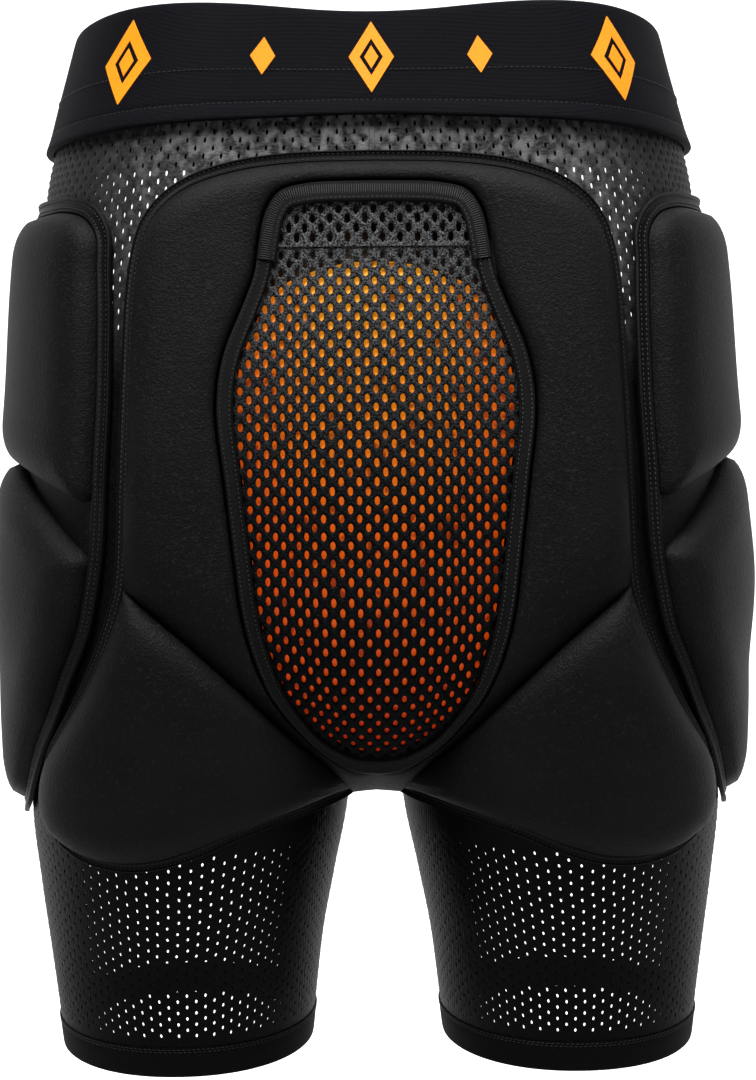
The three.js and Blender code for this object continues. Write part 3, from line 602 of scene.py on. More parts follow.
def stitch_row(line, normals, pitch, length, radius, crosswise=False):
    """Stitches at a pitch along a line of points, lying along it or across it."""
    steps = np.linalg.norm(np.diff(line, axis=0), axis=1)
    along = np.concatenate([[0], np.cumsum(steps)])
    at = np.arange(pitch / 2, along[-1], pitch)

    def read(values, places):
        return np.stack([np.interp(places, along, values[:, k]) for k in range(3)], axis=1)

    place = read(line, at)
    up = unit(read(normals, at))
    tangent = unit(read(line, at + 0.3) - read(line, at - 0.3))
    sideways = unit(np.cross(up, tangent))
    if crosswise:
        tangent, sideways = sideways, tangent
    points, triangles = PILL
    made = (place[:, None] + tangent[:, None] * (points[None, :, :1] * length / 2)
            + sideways[:, None] * (points[None, :, 1:2] * radius)
            + up[:, None] * (points[None, :, 2:] * radius))
    offsets = np.arange(len(at))[:, None, None] * len(points)
    return made.reshape(-1, 3), (triangles[None] + offsets).reshape(-1, 3)


def line_on(view, outline, lift, closed=True):
    """Line of points over an outline at a lift, and the surface's normals there."""
    if closed:
        outline = np.vstack([outline, outline[:1]])
    feet, normals = feet_and_normals(view, outline)
    return feet + normals * lift(outline)[:, None], normals


# Pierced sheets: a staggered lattice of diamond cells, each with an oval hole


def thickened(points, normals, triangles, wall):
    """Solid sheet from its front face: a back face, and walls along every open edge."""
    first, triangles = welded(points, triangles)
    points, normals = points[first], normals[first]
    edges = np.concatenate([triangles[:, [0, 1]], triangles[:, [1, 2]], triangles[:, [2, 0]]])
    count = len(points)
    forth = edges[:, 0] * count + edges[:, 1]
    back = edges[:, 1] * count + edges[:, 0]
    a, b = edges[~np.isin(forth, back)].T
    walls = np.concatenate([np.stack([b, a, a + count], -1), np.stack([b, a + count, b + count], -1)])
    both = np.vstack([points, points - normals * wall])
    return used_only(both, np.concatenate([triangles, triangles[:, ::-1] + count, walls]))


CORNER_STEPS = {0: (0, 1), 2: (1, 0), 4: (0, -1), 6: (-1, 0)}
SQUARE_STEPS = {1: (0, 0), 3: (0, -1), 5: (-1, -1), 7: (-1, 0)}


def lattice(points, normals, hole_across, hole_up, wall, relief=0.0, keep=None):
    """Sheet over a grid of points, rows upwards, in diamond cells on every second point.
    The hole sizes are shares of the steps to the next points, and a cell with none is whole."""
    rows, columns = points.shape[:2]
    index = np.arange(rows * columns).reshape(rows, columns)
    j, i = np.meshgrid(np.arange(rows), np.arange(columns), indexing="ij")
    centre = (i + j) % 2 == 0
    even = centre[:-1, :-1, None]
    between = np.where(even, points[:-1, 1:] + points[1:, :-1], points[:-1, :-1] + points[1:, 1:])
    between_normals = unit(normals[:-1, :-1] + normals[1:, 1:])
    square = rows * columns + np.arange((rows - 1) * (columns - 1)).reshape(rows - 1, columns - 1)
    shown = centre if keep is None else centre & keep
    inside = shown.copy()
    inside[[0, -1]] = False
    inside[:, [0, -1]] = False
    holed = inside & (hole_across > 0)

    def rim(cells_up, cells_across, turn):
        """Number of the point at an eighth of a turn on a cell's edge."""
        steps, table = ((CORNER_STEPS, index) if turn in CORNER_STEPS else (SQUARE_STEPS, square))
        return table[cells_up + steps[turn][0], cells_across + steps[turn][1]]

    cells_up, cells_across = np.nonzero(holed)
    turn = np.arange(8) * np.pi / 4
    centres = points[cells_up, cells_across]
    right = (points[cells_up, cells_across + 1] - points[cells_up, cells_across - 1]) / 2
    up = (points[cells_up + 1, cells_across] - points[cells_up - 1, cells_across]) / 2
    wide = hole_across[cells_up, cells_across][:, None] * np.cos(turn)
    tall = hole_up[cells_up, cells_across][:, None] * np.sin(turn)
    oval = centres[:, None] + right[:, None] * wide[..., None] + up[:, None] * tall[..., None]
    raised = points + normals * relief
    raised[centre] = points[centre]
    groove = 0.3 * relief
    flat_normals = [normals.reshape(-1, 3), between_normals.reshape(-1, 3),
                    np.repeat(normals[cells_up, cells_across], 8, axis=0)]
    flat_points = [raised.reshape(-1, 3), (between / 2 + between_normals * groove).reshape(-1, 3),
                   oval.reshape(-1, 3)]
    hole = len(flat_points[0]) + len(flat_points[1]) + np.arange(len(centres) * 8).reshape(-1, 8)
    faces = []
    for k in range(8):
        after = (k + 1) % 8
        here, there = rim(cells_up, cells_across, k), rim(cells_up, cells_across, after)
        faces.append(np.stack([here, there, hole[:, after]], -1))
        faces.append(np.stack([here, hole[:, after], hole[:, k]], -1))
    whole_up, whole_across = np.nonzero(shown & ~holed)
    for k in range(8):
        fits = np.ones(len(whole_up), bool)
        for turn_step in (k, (k + 1) % 8):
            table = CORNER_STEPS if turn_step in CORNER_STEPS else SQUARE_STEPS
            beyond = 1 if turn_step in CORNER_STEPS else 2
            at_up = whole_up + table[turn_step][0]
            at_across = whole_across + table[turn_step][1]
            fits &= (at_up >= 0) & (at_up <= rows - beyond)
            fits &= (at_across >= 0) & (at_across <= columns - beyond)
        up_fit, across_fit = whole_up[fits], whole_across[fits]
        faces.append(np.stack([index[up_fit, across_fit], rim(up_fit, across_fit, k),
                               rim(up_fit, across_fit, (k + 1) % 8)], -1))
    return thickened(np.vstack(flat_points), np.vstack(flat_normals), np.concatenate(faces), wall)


# Materials


class Look:
    """Builds one node material: a coloured cloth or foam with grain and bump."""

    def __init__(self, name, roughness, specular, sheen=0.0, coat=0.0):
        self.material = bpy.data.materials.new(name)
        self.material.use_nodes = True
        self.tree = self.material.node_tree
        self.shader = self.tree.nodes["Principled BSDF"]
        self.feed(self.shader, {"Roughness": roughness, "Sheen Weight": sheen,
                                "Specular IOR Level": specular, "Coat Weight": coat})
        self.place = self.add("ShaderNodeTexCoord").outputs["Object"]

    def feed(self, node, inputs):
        """Links each input to another node's output, or sets it to a value."""
        for key, value in inputs.items():
            target = node.inputs[key]
            if isinstance(value, bpy.types.NodeSocket):
                self.tree.links.new(value, target)
            elif target.type == "RGBA":
                target.default_value = (*value, 1.0)
            else:
                target.default_value = value

    def add(self, kind, inputs=None, **settings):
        node = self.tree.nodes.new(kind)
        for key, value in settings.items():
            setattr(node, key, value)
        self.feed(node, inputs or {})
        return node

    def noise(self, scale, detail=2.0, stretch_by=(1, 1, 1)):
        scaled = self.add("ShaderNodeMapping", {"Vector": self.place, "Scale": stretch_by})
        node = self.add("ShaderNodeTexNoise", {"Vector": scaled.outputs["Vector"], "Scale": scale,
                                               "Detail": detail})
        return node.outputs["Fac"]

    def wave(self, scale, direction="Z", distortion=0.0):
        node = self.add("ShaderNodeTexWave",
                        {"Vector": self.place, "Scale": scale, "Distortion": distortion,
                         "Detail": 1.0}, wave_type="BANDS", bands_direction=direction)
        return node.outputs["Fac"]

    def ramp(self, value, stops):
        node = self.add("ShaderNodeValToRGB", {"Fac": value})
        elements = node.color_ramp.elements
        while len(elements) < len(stops):
            elements.new(0.5)
        for element, (at, colour) in zip(elements, stops):
            element.position = at
            element.color = (*colour, 1.0)
        return node.outputs["Color"]

    def mix(self, share, first, second, blend="MIX"):
        node = self.add("ShaderNodeMix", {0: share, 6: first, 7: second}, data_type="RGBA",
                        blend_type=blend)
        return node.outputs[2]

    def math(self, operation, first, second=0.0):
        return self.add("ShaderNodeMath", {0: first, 1: second}, operation=operation).outputs[0]

    def axes(self):
        return self.add("ShaderNodeSeparateXYZ", {"Vector": self.place}).outputs

    def between(self, value, low, high):
        node = self.add("ShaderNodeMapRange", {"Value": value, "From Min": low, "From Max": high})
        return node.outputs["Result"]

    def finish(self, colour, bump, strength, distance):
        node = self.add("ShaderNodeBump", {"Strength": strength, "Distance": distance,
                                           "Height": bump})
        self.feed(self.shader, {"Base Color": colour, "Normal": node.outputs["Normal"]})
        return self.material


def pad_look():
    look = Look("brushed_knit_over_foam", 0.6, specular=0.1)
    grain = look.noise(1500, 3.0)
    speckle = look.noise(700, 2.0)
    patches = look.noise(30, 2.0)
    colour = look.ramp(grain, [(0.32, (0.0006, 0.0006, 0.0007)), (0.70, (0.0046, 0.0046, 0.0048))])
    light = look.between(speckle, 0.58, 0.72)
    colour = look.mix(look.math("MULTIPLY", light, 0.55), colour, (0.018, 0.018, 0.019))
    colour = look.mix(look.math("MULTIPLY", look.between(patches, 0.45, 0.7), 0.4), colour,
                      (0.0055, 0.0055, 0.0058))
    return look.finish(colour, look.math("ADD", grain, look.math("MULTIPLY", speckle, 0.8)),
                       0.6, 0.0007)


def cloth_look():
    look = Look("pierced_stretch_knit", 0.5, specular=0.05)
    ribs = look.wave(420, "X", 2.5)
    grain = look.noise(1100, 2.0, (1, 1, 0.5))
    both = look.math("ADD", look.math("MULTIPLY", ribs, 0.35), grain)
    colour = look.ramp(grain, [(0.3, (0.0006, 0.0006, 0.0007)), (0.75, (0.0026, 0.0026, 0.0028))])
    return look.finish(colour, both, 0.5, 0.0005)


def yoke_look():
    look = Look("pierced_knit_with_painted_light", 0.5, specular=0.05)
    grain = look.noise(600, 3.0, (1, 1, 1.6))
    fuzz = look.noise(1700, 2.0)
    painted_glints = look.noise(230, 1.0, (1, 1, 0.8))
    axes = look.axes()
    # dark is the knit's own colour; pale is a lit copy of it, painted light for the top of the rear
    # yoke.
    dark = look.ramp(grain, [(0.3, (0.0008, 0.0008, 0.0009)), (0.75, (0.0040, 0.0040, 0.0042))])
    pale = look.ramp(grain, [(0.3, (0.006, 0.006, 0.0063)), (0.72, (0.060, 0.060, 0.061))])
    # Painted highlight: plates of noise lighten the lit copy, as glints on the knit's relief.
    pale = look.mix(look.between(painted_glints, 0.44, 0.64), pale, (0.120, 0.120, 0.123), "LIGHTEN")
    # Painted shade: the lit copy turns darker towards the sides.
    beside = look.between(look.math("ABSOLUTE", axes["X"]), 0.07, 0.12)
    pale = look.mix(beside, pale, (0.017, 0.017, 0.0175))
    # Painted light: the lit copy covers the rear of the yoke below the waistband and fades out
    # downwards and towards the front.
    high = look.between(axes["Z"], -0.135, -0.085)
    painted_light_zone = look.math("MULTIPLY", high, look.between(axes["Y"], 0.02, -0.05))
    colour = look.mix(painted_light_zone, dark, pale)
    return look.finish(colour, look.math("ADD", grain, fuzz), 0.6, 0.0006)


def band_look():
    look = Look("ribbed_elastic_knit", 0.75, specular=0.05)
    ribs = look.wave(560, "Z", 0.6)
    grain = look.noise(1500, 2.0)
    both = look.math("ADD", look.math("MULTIPLY", ribs, 0.8), grain)
    colour = look.ramp(grain, [(0.3, (0.0014, 0.0015, 0.0022)), (0.75, (0.0048, 0.0050, 0.0072))])
    return look.finish(colour, both, 0.45, 0.0004)


def hem_look():
    look = Look("folded_hem_knit", 0.7, specular=0.05)
    ribs = look.wave(420, "Z", 0.8)
    grain = look.noise(1300, 2.0)
    colour = look.ramp(grain, [(0.3, (0.0012, 0.0012, 0.0013)), (0.75, (0.0042, 0.0042, 0.0045))])
    return look.finish(colour, look.math("ADD", ribs, grain), 0.4, 0.0004)


def tape_look():
    look = Look("woven_binding_tape", 0.5, specular=0.09)
    grain = look.noise(1600, 2.0)
    weave = look.wave(700, "DIAGONAL", 1.0)
    colour = look.ramp(grain, [(0.3, (0.0013, 0.0013, 0.0014)), (0.75, (0.0052, 0.0052, 0.0055))])
    return look.finish(colour, look.math("ADD", grain, weave), 0.45, 0.0003)


def thread_look():
    look = Look("polyester_thread", 0.5, specular=0.25, sheen=0.02)
    twist = look.wave(1800, "DIAGONAL", 0.5)
    colour = look.ramp(twist, [(0.2, (0.006, 0.006, 0.0065)), (0.8, (0.034, 0.034, 0.035))])
    return look.finish(colour, twist, 0.4, 0.0002)


def net_look():
    look = Look("spacer_net_yarn", 0.6, specular=0.06)
    fuzz = look.noise(1300, 3.0)
    # Painted light and shade: a lit copy of the yarn (high) at the top of the net and a shaded one
    # (low) towards its bottom, mixed by height.
    height = look.between(look.axes()["Z"], -0.20, -0.055)
    low = look.ramp(fuzz, [(0.38, (0.0004, 0.0005, 0.0006)), (0.7, (0.0045, 0.0052, 0.0062))])
    high = look.ramp(fuzz, [(0.40, (0.002, 0.002, 0.0021)), (0.66, (0.13, 0.13, 0.134))])
    colour = look.mix(look.math("POWER", height, 1.8), low, high)
    return look.finish(colour, fuzz, 1.0, 0.0008)


def insert_look():
    look = Look("moulded_orange_foam_with_painted_light", 0.5, specular=0.25, coat=0.05)
    dots = look.noise(190, 1.0)
    axes = look.axes()
    # Painted light and shade: the foam turns from lit yellow-orange at the top to shaded dark red at
    # the bottom, and darker towards the sides.
    height = look.between(axes["Z"], -0.285, -0.09)
    painted_side_shade = look.between(look.math("ABSOLUTE", axes["X"]), 0.018, 0.064)
    colour = look.ramp(height, [(0.0, (0.42, 0.022, 0.002)), (0.45, (1.0, 0.140, 0.004)),
                                (1.0, (1.0, 0.38, 0.014))])
    colour = look.mix(look.math("MULTIPLY", painted_side_shade, 0.8), colour, (0.80, 0.060, 0.003))
    # Painted shade: darker noise spots stand in for the shade inside the foam's vent holes.
    colour = look.mix(look.math("MULTIPLY", look.between(dots, 0.54, 0.66), 0.75), colour,
                      (0.22, 0.012, 0.002))
    # Painted glow: the foam gives off light in its own colour, though it is no lamp.
    look.feed(look.shader, {"Emission Color": colour, "Emission Strength": 0.5})
    return look.finish(colour, dots, 0.5, 0.0012)


def print_look():
    look = Look("orange_print", 0.6, specular=0.3)
    grain = look.noise(1600, 2.0)
    colour = look.ramp(grain, [(0.3, (0.86, 0.235, 0.001)), (0.75, (1.0, 0.30, 0.002))])
    return look.finish(colour, grain, 0.3, 0.0002)


pad_material = pad_look()
cloth_material = cloth_look()
yoke_material = yoke_look()
band_material = band_look()
hem_material = hem_look()
tape_material = tape_look()
thread_material = thread_look()
net_material = net_look()
insert_material = insert_look()
print_material = print_look()


# Pierced cloth halves. The rows are level on the rear; each point of the front lies behind one
# of the rear as the camera sees it, so that the holes of both walls line up and let light through.

HOLE_PITCH = 8.2
LEG_ROW = 2.75
TORSO_ROW = 3.35
LEG_HOLE = (1.05, 2.0)
YOKE_HOLE = (1.15, 2.6)
FRONT_WIDENING = 1.4
WIDEST_HOLE = (0.6, 0.62)
SMALLEST_STEP = 1.6
LEG_RELIEF = 0.3
YOKE_RELIEF = 0.7
CLOTH_SHOWN_WALL = 0.7
SEAM_X = 0.15
REAR_LENGTH = 215.0
ABOVE_HEM = 0.2
ABOVE_CROTCH = 0.01

# Where pads cover the cloth: a margin inside their edges, how far out the hip pads start, the
# lobe's width at its foot, and the heights between which the rear has no open holes beside them
COVER_MARGIN = 1.0
HIP_START = 60.0
LOBE_FOOT_SHARE = 0.8
GAP_MIDDLE = -200.0
GAP_HALF = 88.0

# Rays through the shorts: how far in they start, and how far they may go
RAY_START = 1.2
RAY_LENGTH = 270.0
LEG_REACH = 60.0


def round_half(z, turns):
    """Points of the body's surface at one height, at turns round the middle of one half."""
    middle = (size_at("side", z) + size_at("inner", z)) / 2
    centre = np.array([middle, 0.0, z])
    reach = np.stack([np.cos(turns), np.sin(turns), 0 * turns], axis=1) * FAR + centre
    return crossing(np.broadcast_to(centre, reach.shape), reach, steps=60)


def dense_rows(heights, crotch):
    """Level rows round half the shorts, from the front seam or the leg's inside to the rear."""
    rows = []
    for z in heights:
        start_turn, end_turn, ends = np.pi, -np.pi, None
        if z > crotch + ABOVE_CROTCH:
            seam = np.array([[SEAM_X, 0.0, z]] * 2)
            far = seam + np.array([[0, FAR, 0], [0, -FAR, 0]])
            ends = crossing(far, seam)
            middle = (size_at("side", z) + size_at("inner", z)) / 2
            start_turn, end_turn = np.arctan2(ends[:, 1], SEAM_X - middle)
        row = round_half(z, np.linspace(start_turn, end_turn, 420))
        if ends is not None:
            row[0], row[-1] = ends
        rows.append(row)
    return rows


def split_row(row, eye, is_open, steps):
    """steps + 1 points of the row that face the eye, from the inside or seam to the outside."""
    bearing = np.arctan2(row[:, 0] - eye[0], row[:, 1] - eye[1])
    if is_open:
        return spaced(row[np.argmax(bearing):][::-1], steps + 1)
    loop = row[:-1]
    outer, inner = int(np.argmax(bearing[:-1])), int(np.argmin(bearing[:-1]))
    count = (inner - outer) % len(loop)
    near = loop[(outer + np.arange(count + 1)) % len(loop)][::-1]
    return spaced(near, steps + 1)


def behind(near, eye):
    """The place where the line from the eye through each near point leaves the body."""
    flat = near.reshape(-1, 3)
    ray = unit(flat - eye)
    start = flat + ray * RAY_START
    out = crossing(start, start + ray * RAY_LENGTH, steps=90)
    out = np.where((field(start) < 0)[:, None], out, flat)
    lowest = HEM_TOP + ABOVE_HEM
    low = out[:, 2] < lowest
    level_ray = unit(ray * np.array([1.0, 1.0, 0.0]))
    floor_start, floor_end = out[low].copy(), flat[low].copy()
    floor_start[:, 2] = floor_end[:, 2] = lowest
    far = floor_start + level_ray[low] * LEG_REACH
    out[low] = crossing(far, floor_end, steps=90)
    return out.reshape(near.shape)


def cloth_grid(dense, heights, crotch, eye):
    """Near rows and those behind them as one grid, and how many of its columns are near."""
    steps = 2 * round(0.5 * REAR_LENGTH / (HOLE_PITCH / 2))
    near = np.stack([split_row(row, eye, z > crotch + ABOVE_CROTCH, steps)
                     for row, z in zip(dense, heights)])
    away = behind(near, eye)
    away[:, -1] = near[:, -1]
    crotch_or_leg = heights <= crotch + ABOVE_CROTCH
    away[crotch_or_leg, 0] = near[crotch_or_leg, 0]
    return np.concatenate([near, away[:, ::-1][:, 1:]], axis=1), steps


def covered(points):
    """True under the rear pads and the hip pads, where the cloth has no visible holes."""
    x, y, z = points.reshape(-1, 3).T
    aside = np.abs(x)
    half_pad = np.interp(-z, -PAD_OUTLINE[:HALF_COUNT, 1], PAD_OUTLINE[:HALF_COUNT, 0],
                         left=-1, right=-1)
    lobe = np.interp(-z, -np.append(LOBE_SIDE_POINTS[:, 1], LOBE_LOW),
                     np.append(LOBE_SIDE_POINTS[:, 0], LOBE_HALF_WIDTH * LOBE_FOOT_SHARE),
                     left=-1, right=-1)
    behind_pads = (y < 0) & (aside < np.maximum(half_pad, lobe) - COVER_MARGIN)
    behind_pads |= (y < 0) & (half_pad > 0) & (np.abs(z - GAP_MIDDLE) < GAP_HALF)
    across = aside * HIP_VIEW[1][0] + y * HIP_VIEW[1][1]
    low, high = HIP_LOW + 2 * COVER_MARGIN, HIP_LOW + HIP_PAD_HEIGHT - 2 * COVER_MARGIN
    rear_reach = np.interp(z, HIP_REAR_POINTS[:, 1], HIP_REAR_POINTS[:, 0])
    front_reach = np.interp(z, HIP_FRONT_POINTS[::-1, 1], HIP_FRONT_POINTS[::-1, 0])
    beside = ((aside > HIP_START) & (z > low) & (z < high)
              & (across > rear_reach + COVER_MARGIN) & (across < front_reach - COVER_MARGIN))
    return (behind_pads | beside).reshape(points.shape[:-1])


def build_cloth():
    crotch_start = np.array([[SEAM_X, 0.0, HEM_EDGE]])
    crotch_end = np.array([[SEAM_X, 0.0, CLOTH_TOP]])
    crotch = float(crossing(crotch_start, crotch_end, steps=400)[0, 2])
    leg_rows = 2 * round((crotch - HEM_TOP) / LEG_ROW / 2)
    torso_rows = round((CLOTH_TOP - crotch) / TORSO_ROW)
    heights = np.concatenate([np.linspace(HEM_TOP + PIECE_GAP, crotch, leg_rows + 1),
                              np.linspace(crotch, CLOTH_TOP, torso_rows + 1)[1:]])
    dense = dense_rows(heights, crotch)
    made = {}
    for word, side in (("left", -1), ("right", 1)):
        eye = np.array(CAMERA_PLACE) * np.array([side, 1, 1])
        grid, rear_steps = cloth_grid(dense, heights, crotch, eye)
        normals = normal_at(grid.reshape(-1, 3)).reshape(grid.shape)
        on_seam = heights > crotch + ABOVE_CROTCH
        for column in (0, -1):
            normals[on_seam, column, 0] = 0
        normals = unit(normals)
        step_across = np.linalg.norm(np.roll(grid, -1, 1) - grid, axis=-1)
        step_up = np.linalg.norm(np.roll(grid, -1, 0) - grid, axis=-1)
        step_up[-1] = step_up[-2]
        step_across[:, -1] = step_across[:, -2]
        is_leg = (np.arange(len(heights)) <= leg_rows + 1)[:, None]
        across = np.where(is_leg, LEG_HOLE[0], YOKE_HOLE[0]) / 2 / np.maximum(step_across, 0.1)
        up = np.where(is_leg, LEG_HOLE[1], YOKE_HOLE[1]) / 2 / np.maximum(step_up, 0.1)
        widening = np.where(np.arange(grid.shape[1]) > rear_steps, FRONT_WIDENING, 1.0)
        across, up = across * widening, up * widening
        open_here = np.minimum(step_across, step_up) > SMALLEST_STEP
        open_here &= ~covered(grid)
        open_here[[0, 1, -1]] = False
        across = np.where(open_here, np.minimum(across, WIDEST_HOLE[0]), 0)
        up = np.where(open_here, np.minimum(up, WIDEST_HOLE[1]), 0)
        for label, rows, relief, material, node in (
                ("leg_cloth", slice(0, leg_rows + 1), LEG_RELIEF, cloth_material, None),
                ("torso_cloth", slice(leg_rows, None), YOKE_RELIEF, yoke_material,
                 f"shorts_{word}")):
            shape = lattice(grid[rows], normals[rows], across[rows], up[rows], CLOTH_SHOWN_WALL,
                            relief)
            name = f"{label}_{word}"
            made[name] = make(name, flipped(*shape) if side < 0 else shape, material,
                              node)
    return made


def build_seams():
    """Narrow strips that join the two halves down the middle of the rear and of the front."""
    parts = []
    heights = np.linspace(CROTCH_FLOOR + 1.5, CLOTH_TOP + 3, 150)
    count = len(heights)
    section = ((-1.3, 0.1), (-1.1, 0.6), (-0.6, 0.95), (0.0, 0.6), (0.6, 0.95), (1.1, 0.6),
               (1.3, 0.1), (1.3, -0.95), (0.0, -1.0), (-1.3, -0.95))
    for facing in (-1, 1):
        lines = []
        for across, lift in section:
            start = np.stack([np.full(count, across), np.full(count, facing * FAR), heights], axis=1)
            foot = crossing(start, start * np.array([1.0, 0.0, 1.0]))
            lines.append(foot + normal_at(foot) * lift)
        points = np.stack(lines, axis=1).reshape(-1, 3)
        parts.append(outward(points, tube_triangles(count, len(section))))
    make("centre_seams", joined(parts), yoke_material, crease_angle=FINE_ANGLE)


build_seams()
cloth = build_cloth()


# Waistband and hems


def closed_loop(rings):
    """Solid of rings of points: each ring runs round the body, the rings round its section."""
    count = len(rings[0])
    points = np.vstack(rings)
    triangles = grid_triangles(len(rings), count, wrap_rows=True, wrap_columns=True)
    return outward(*merged(points, triangles))


def lifted(foot, lift, z):
    """Points moved out from the body by a lift, and kept at their height."""
    point = foot + normal_at(foot) * lift
    point[:, 2] = z
    return point


def band_ring(turn, z, lift):
    centre = np.stack([0 * turn, 0 * turn, z], axis=1)
    reach = np.stack([np.sin(turn) * FAR, -np.cos(turn) * FAR, z], axis=1)
    return lifted(crossing(centre, reach, steps=60), lift, z)


def leg_ring(turn, share, lift):
    z = HEM_EDGE + HEM_HEIGHT * share
    return lifted(round_half(z, turn), lift, z)


BAND_OUTSIDE = (
    (0.00, 0.6), (0.012, 1.15), (0.035, 1.2), (0.09, 0.75), (0.128, 0.45), (0.14, 0.15),
    (0.152, 0.35), (0.20, 0.25), (0.35, 0.1), (0.5, 0.0), (0.65, 0.0), (0.8, 0.1),
    (0.92, 0.2), (0.975, 0.1), (0.993, -0.3), (1.0, -0.9),
)


def band_height(turn, share):
    rim = BAND_HALF_HEIGHT - RIM_WAVE * np.cos(4 * turn)
    foot = -BAND_HALF_HEIGHT - BAND_SAG / 2 + BAND_SAG * np.cos(2 * turn)
    return foot + (rim - foot) * share


def band_lift(turn, share):
    """Lift of the waistband's outside over the body, with its soft waves."""
    extra = np.interp(share, *zip(*BAND_OUTSIDE))
    waves = 0.35 * np.sin(9 * turn + 0.6) + 0.2 * np.sin(17 * turn)
    return BAND_CLEARANCE + BAND_WALL + extra + waves * np.sin(np.pi * np.clip(share, 0, 1))


def build_band():
    columns = 480
    turn = 2 * np.pi * np.arange(columns) / columns
    rings = [band_ring(turn, band_height(turn, share), band_lift(turn, share)[:, None])
             for share, _ in BAND_OUTSIDE]
    rings += [band_ring(turn, band_height(turn, share), BAND_CLEARANCE)
              for share in (1.0, 0.75, 0.5, 0.25, 0.0)]
    band = make("waistband_knit", closed_loop(rings), band_material,
                "waistband")
    rows = []
    closing = np.append(turn, 2 * np.pi)
    for share in (0.14, 0.43):
        lift = band_lift(closing, share)[:, None] + 0.15
        line = band_ring(closing, band_height(closing, share), lift)
        rows.append(stitch_row(line, normal_at(line), *BAND_STITCH))
    stitches = make_stitches("waistband_stitches", joined(rows))


PRINT_STEP = 0.43
PRINT_SHARE = 0.55
PRINT_THICKNESS = 0.35
PRINT_SUNK = -0.3


def lozenge(middle_turn, half_across, half_up, hollow=0.02):
    """Flat printed lozenge on the waistband, bent round it, with an optional open middle."""
    corners = np.array([(1, 0), (0, 1), (-1, 0), (0, -1), (1, 0)], float)
    rim = spaced(corners, 65)[:-1]
    rings = []
    for scale, lift in ((1.0, PRINT_SUNK), (1.0, PRINT_THICKNESS), (hollow, PRINT_THICKNESS),
                        (hollow, PRINT_SUNK)):
        turn = middle_turn + rim[:, 0] * half_across * scale / SEAT_DEPTH
        share = PRINT_SHARE + rim[:, 1] * half_up * scale / (2 * BAND_HALF_HEIGHT)
        rings.append(band_ring(turn, band_height(turn, share),
                               band_lift(turn, share)[:, None] + lift))
    return closed_loop(rings)


def build_print():
    """Generic row of lozenges on the waistband, large and small by turns."""
    parts = []
    for step in range(-2, 3):
        turn = PRINT_STEP * step
        if step % 2:
            parts.append(lozenge(turn, 5.0, 8.0))
        else:
            parts += [lozenge(turn, 11.5, 16.5, hollow=0.52), lozenge(turn, 3.6, 5.4)]
    make("waistband_lozenges", joined(parts), print_material,
         crease_angle=FINE_ANGLE)


HEM_OUTSIDE = (
    (0.0, -0.5), (0.03, 0.25), (0.12, 0.5), (0.5, 0.55), (0.84, 0.5), (0.87, 0.2), (0.90, 0.45),
    (0.965, 0.45), (1.0, 0.1),
)


def build_hems():
    turn = np.linspace(np.pi, -np.pi, 241)
    rings = [leg_ring(turn[:-1], share, HEM_PROUD + extra * 0.6) for share, extra in HEM_OUTSIDE]
    rings += [leg_ring(turn[:-1], share, HEM_PROUD - HEM_WALL) for share in (1.0, 0.5, 0.0)]
    rows = []
    for share in (0.87, 0.955):
        line = leg_ring(turn, share, HEM_PROUD + 0.35)
        rows.append(stitch_row(line, normal_at(line), *HEM_STITCH))
    for (word, shape), (_, threads) in zip(sides(closed_loop(rings)), sides(joined(rows))):
        hem = make(f"hem_knit_{word}", shape, hem_material, f"hem_{word}")
        stitches = make_stitches(f"hem_stitches_{word}", threads)


build_band()
build_print()
build_hems()


# Rear pads. Each crown is a rise from an edge: its width, and the power of its curve.

CREASE_CROWN = (27, 1.9)
SIDE_CROWN = (13, 2.2)
WINDOW_CROWN = (8, 2.0)
LOBE_CREASE_CROWN = (13, 2.3)
LOBE_EDGE_CROWN = (17, 2.0)
HIP_CROWN = (18, 2.1)
INSERT_CROWN = (5, 2.0)


def pad_rows(shares_out, lift, back, back_middle):
    rows = [(share, lift) for share in shares_out]
    rows.append((1.0, back))
    rows += [(share, back_middle) for share in np.linspace(0.88, 0, 8)]
    return rows


def build_rear_pad():
    outer = narrowed(PAD_OUTLINE, CREASE_GAP / 2)
    inner = narrowed(WINDOW_OUTLINE, -0.7)
    crease_line = catmull_rom(np.vstack([CREASE_POINTS, TIP]), 8)
    shoulder_line = catmull_rom(SHOULDER_POINTS, 6)

    def lift(places):
        to_crease, to_side = (
            np.minimum(distance_to(places, line), distance_to(places, line * np.array([-1.0, 1.0])))
            for line in (crease_line, shoulder_line))
        to_window = distance_to(places, inner, closed=True)
        reach = np.linalg.norm(places - TIP, axis=1)
        full = PAD_THICKNESS * np.minimum(1, 0.52 + reach / (3.2 * WINDOW_BOTTOM_MARGIN))
        low = clear(places) + PAD_EDGE
        body = low + (full - low) * crown(to_crease, *CREASE_CROWN) * crown(to_side, *SIDE_CROWN)
        sewn = np.minimum(body, full) - (WINDOW_TAPE_HEIGHT - 1.4)
        dip = np.maximum(sewn, 0) * (1 - crown(to_window, *WINDOW_CROWN))
        return body - dip

    shown = 1 - (1 - np.linspace(0, 1, 30)) ** 1.25
    rows = pad_rows(shown, lift, clear, clear_middle)
    shape = ring(REAR_VIEW, inner, outer, rows)
    make("seat_pad_centre", shape, pad_material, "rear_pad_centre")


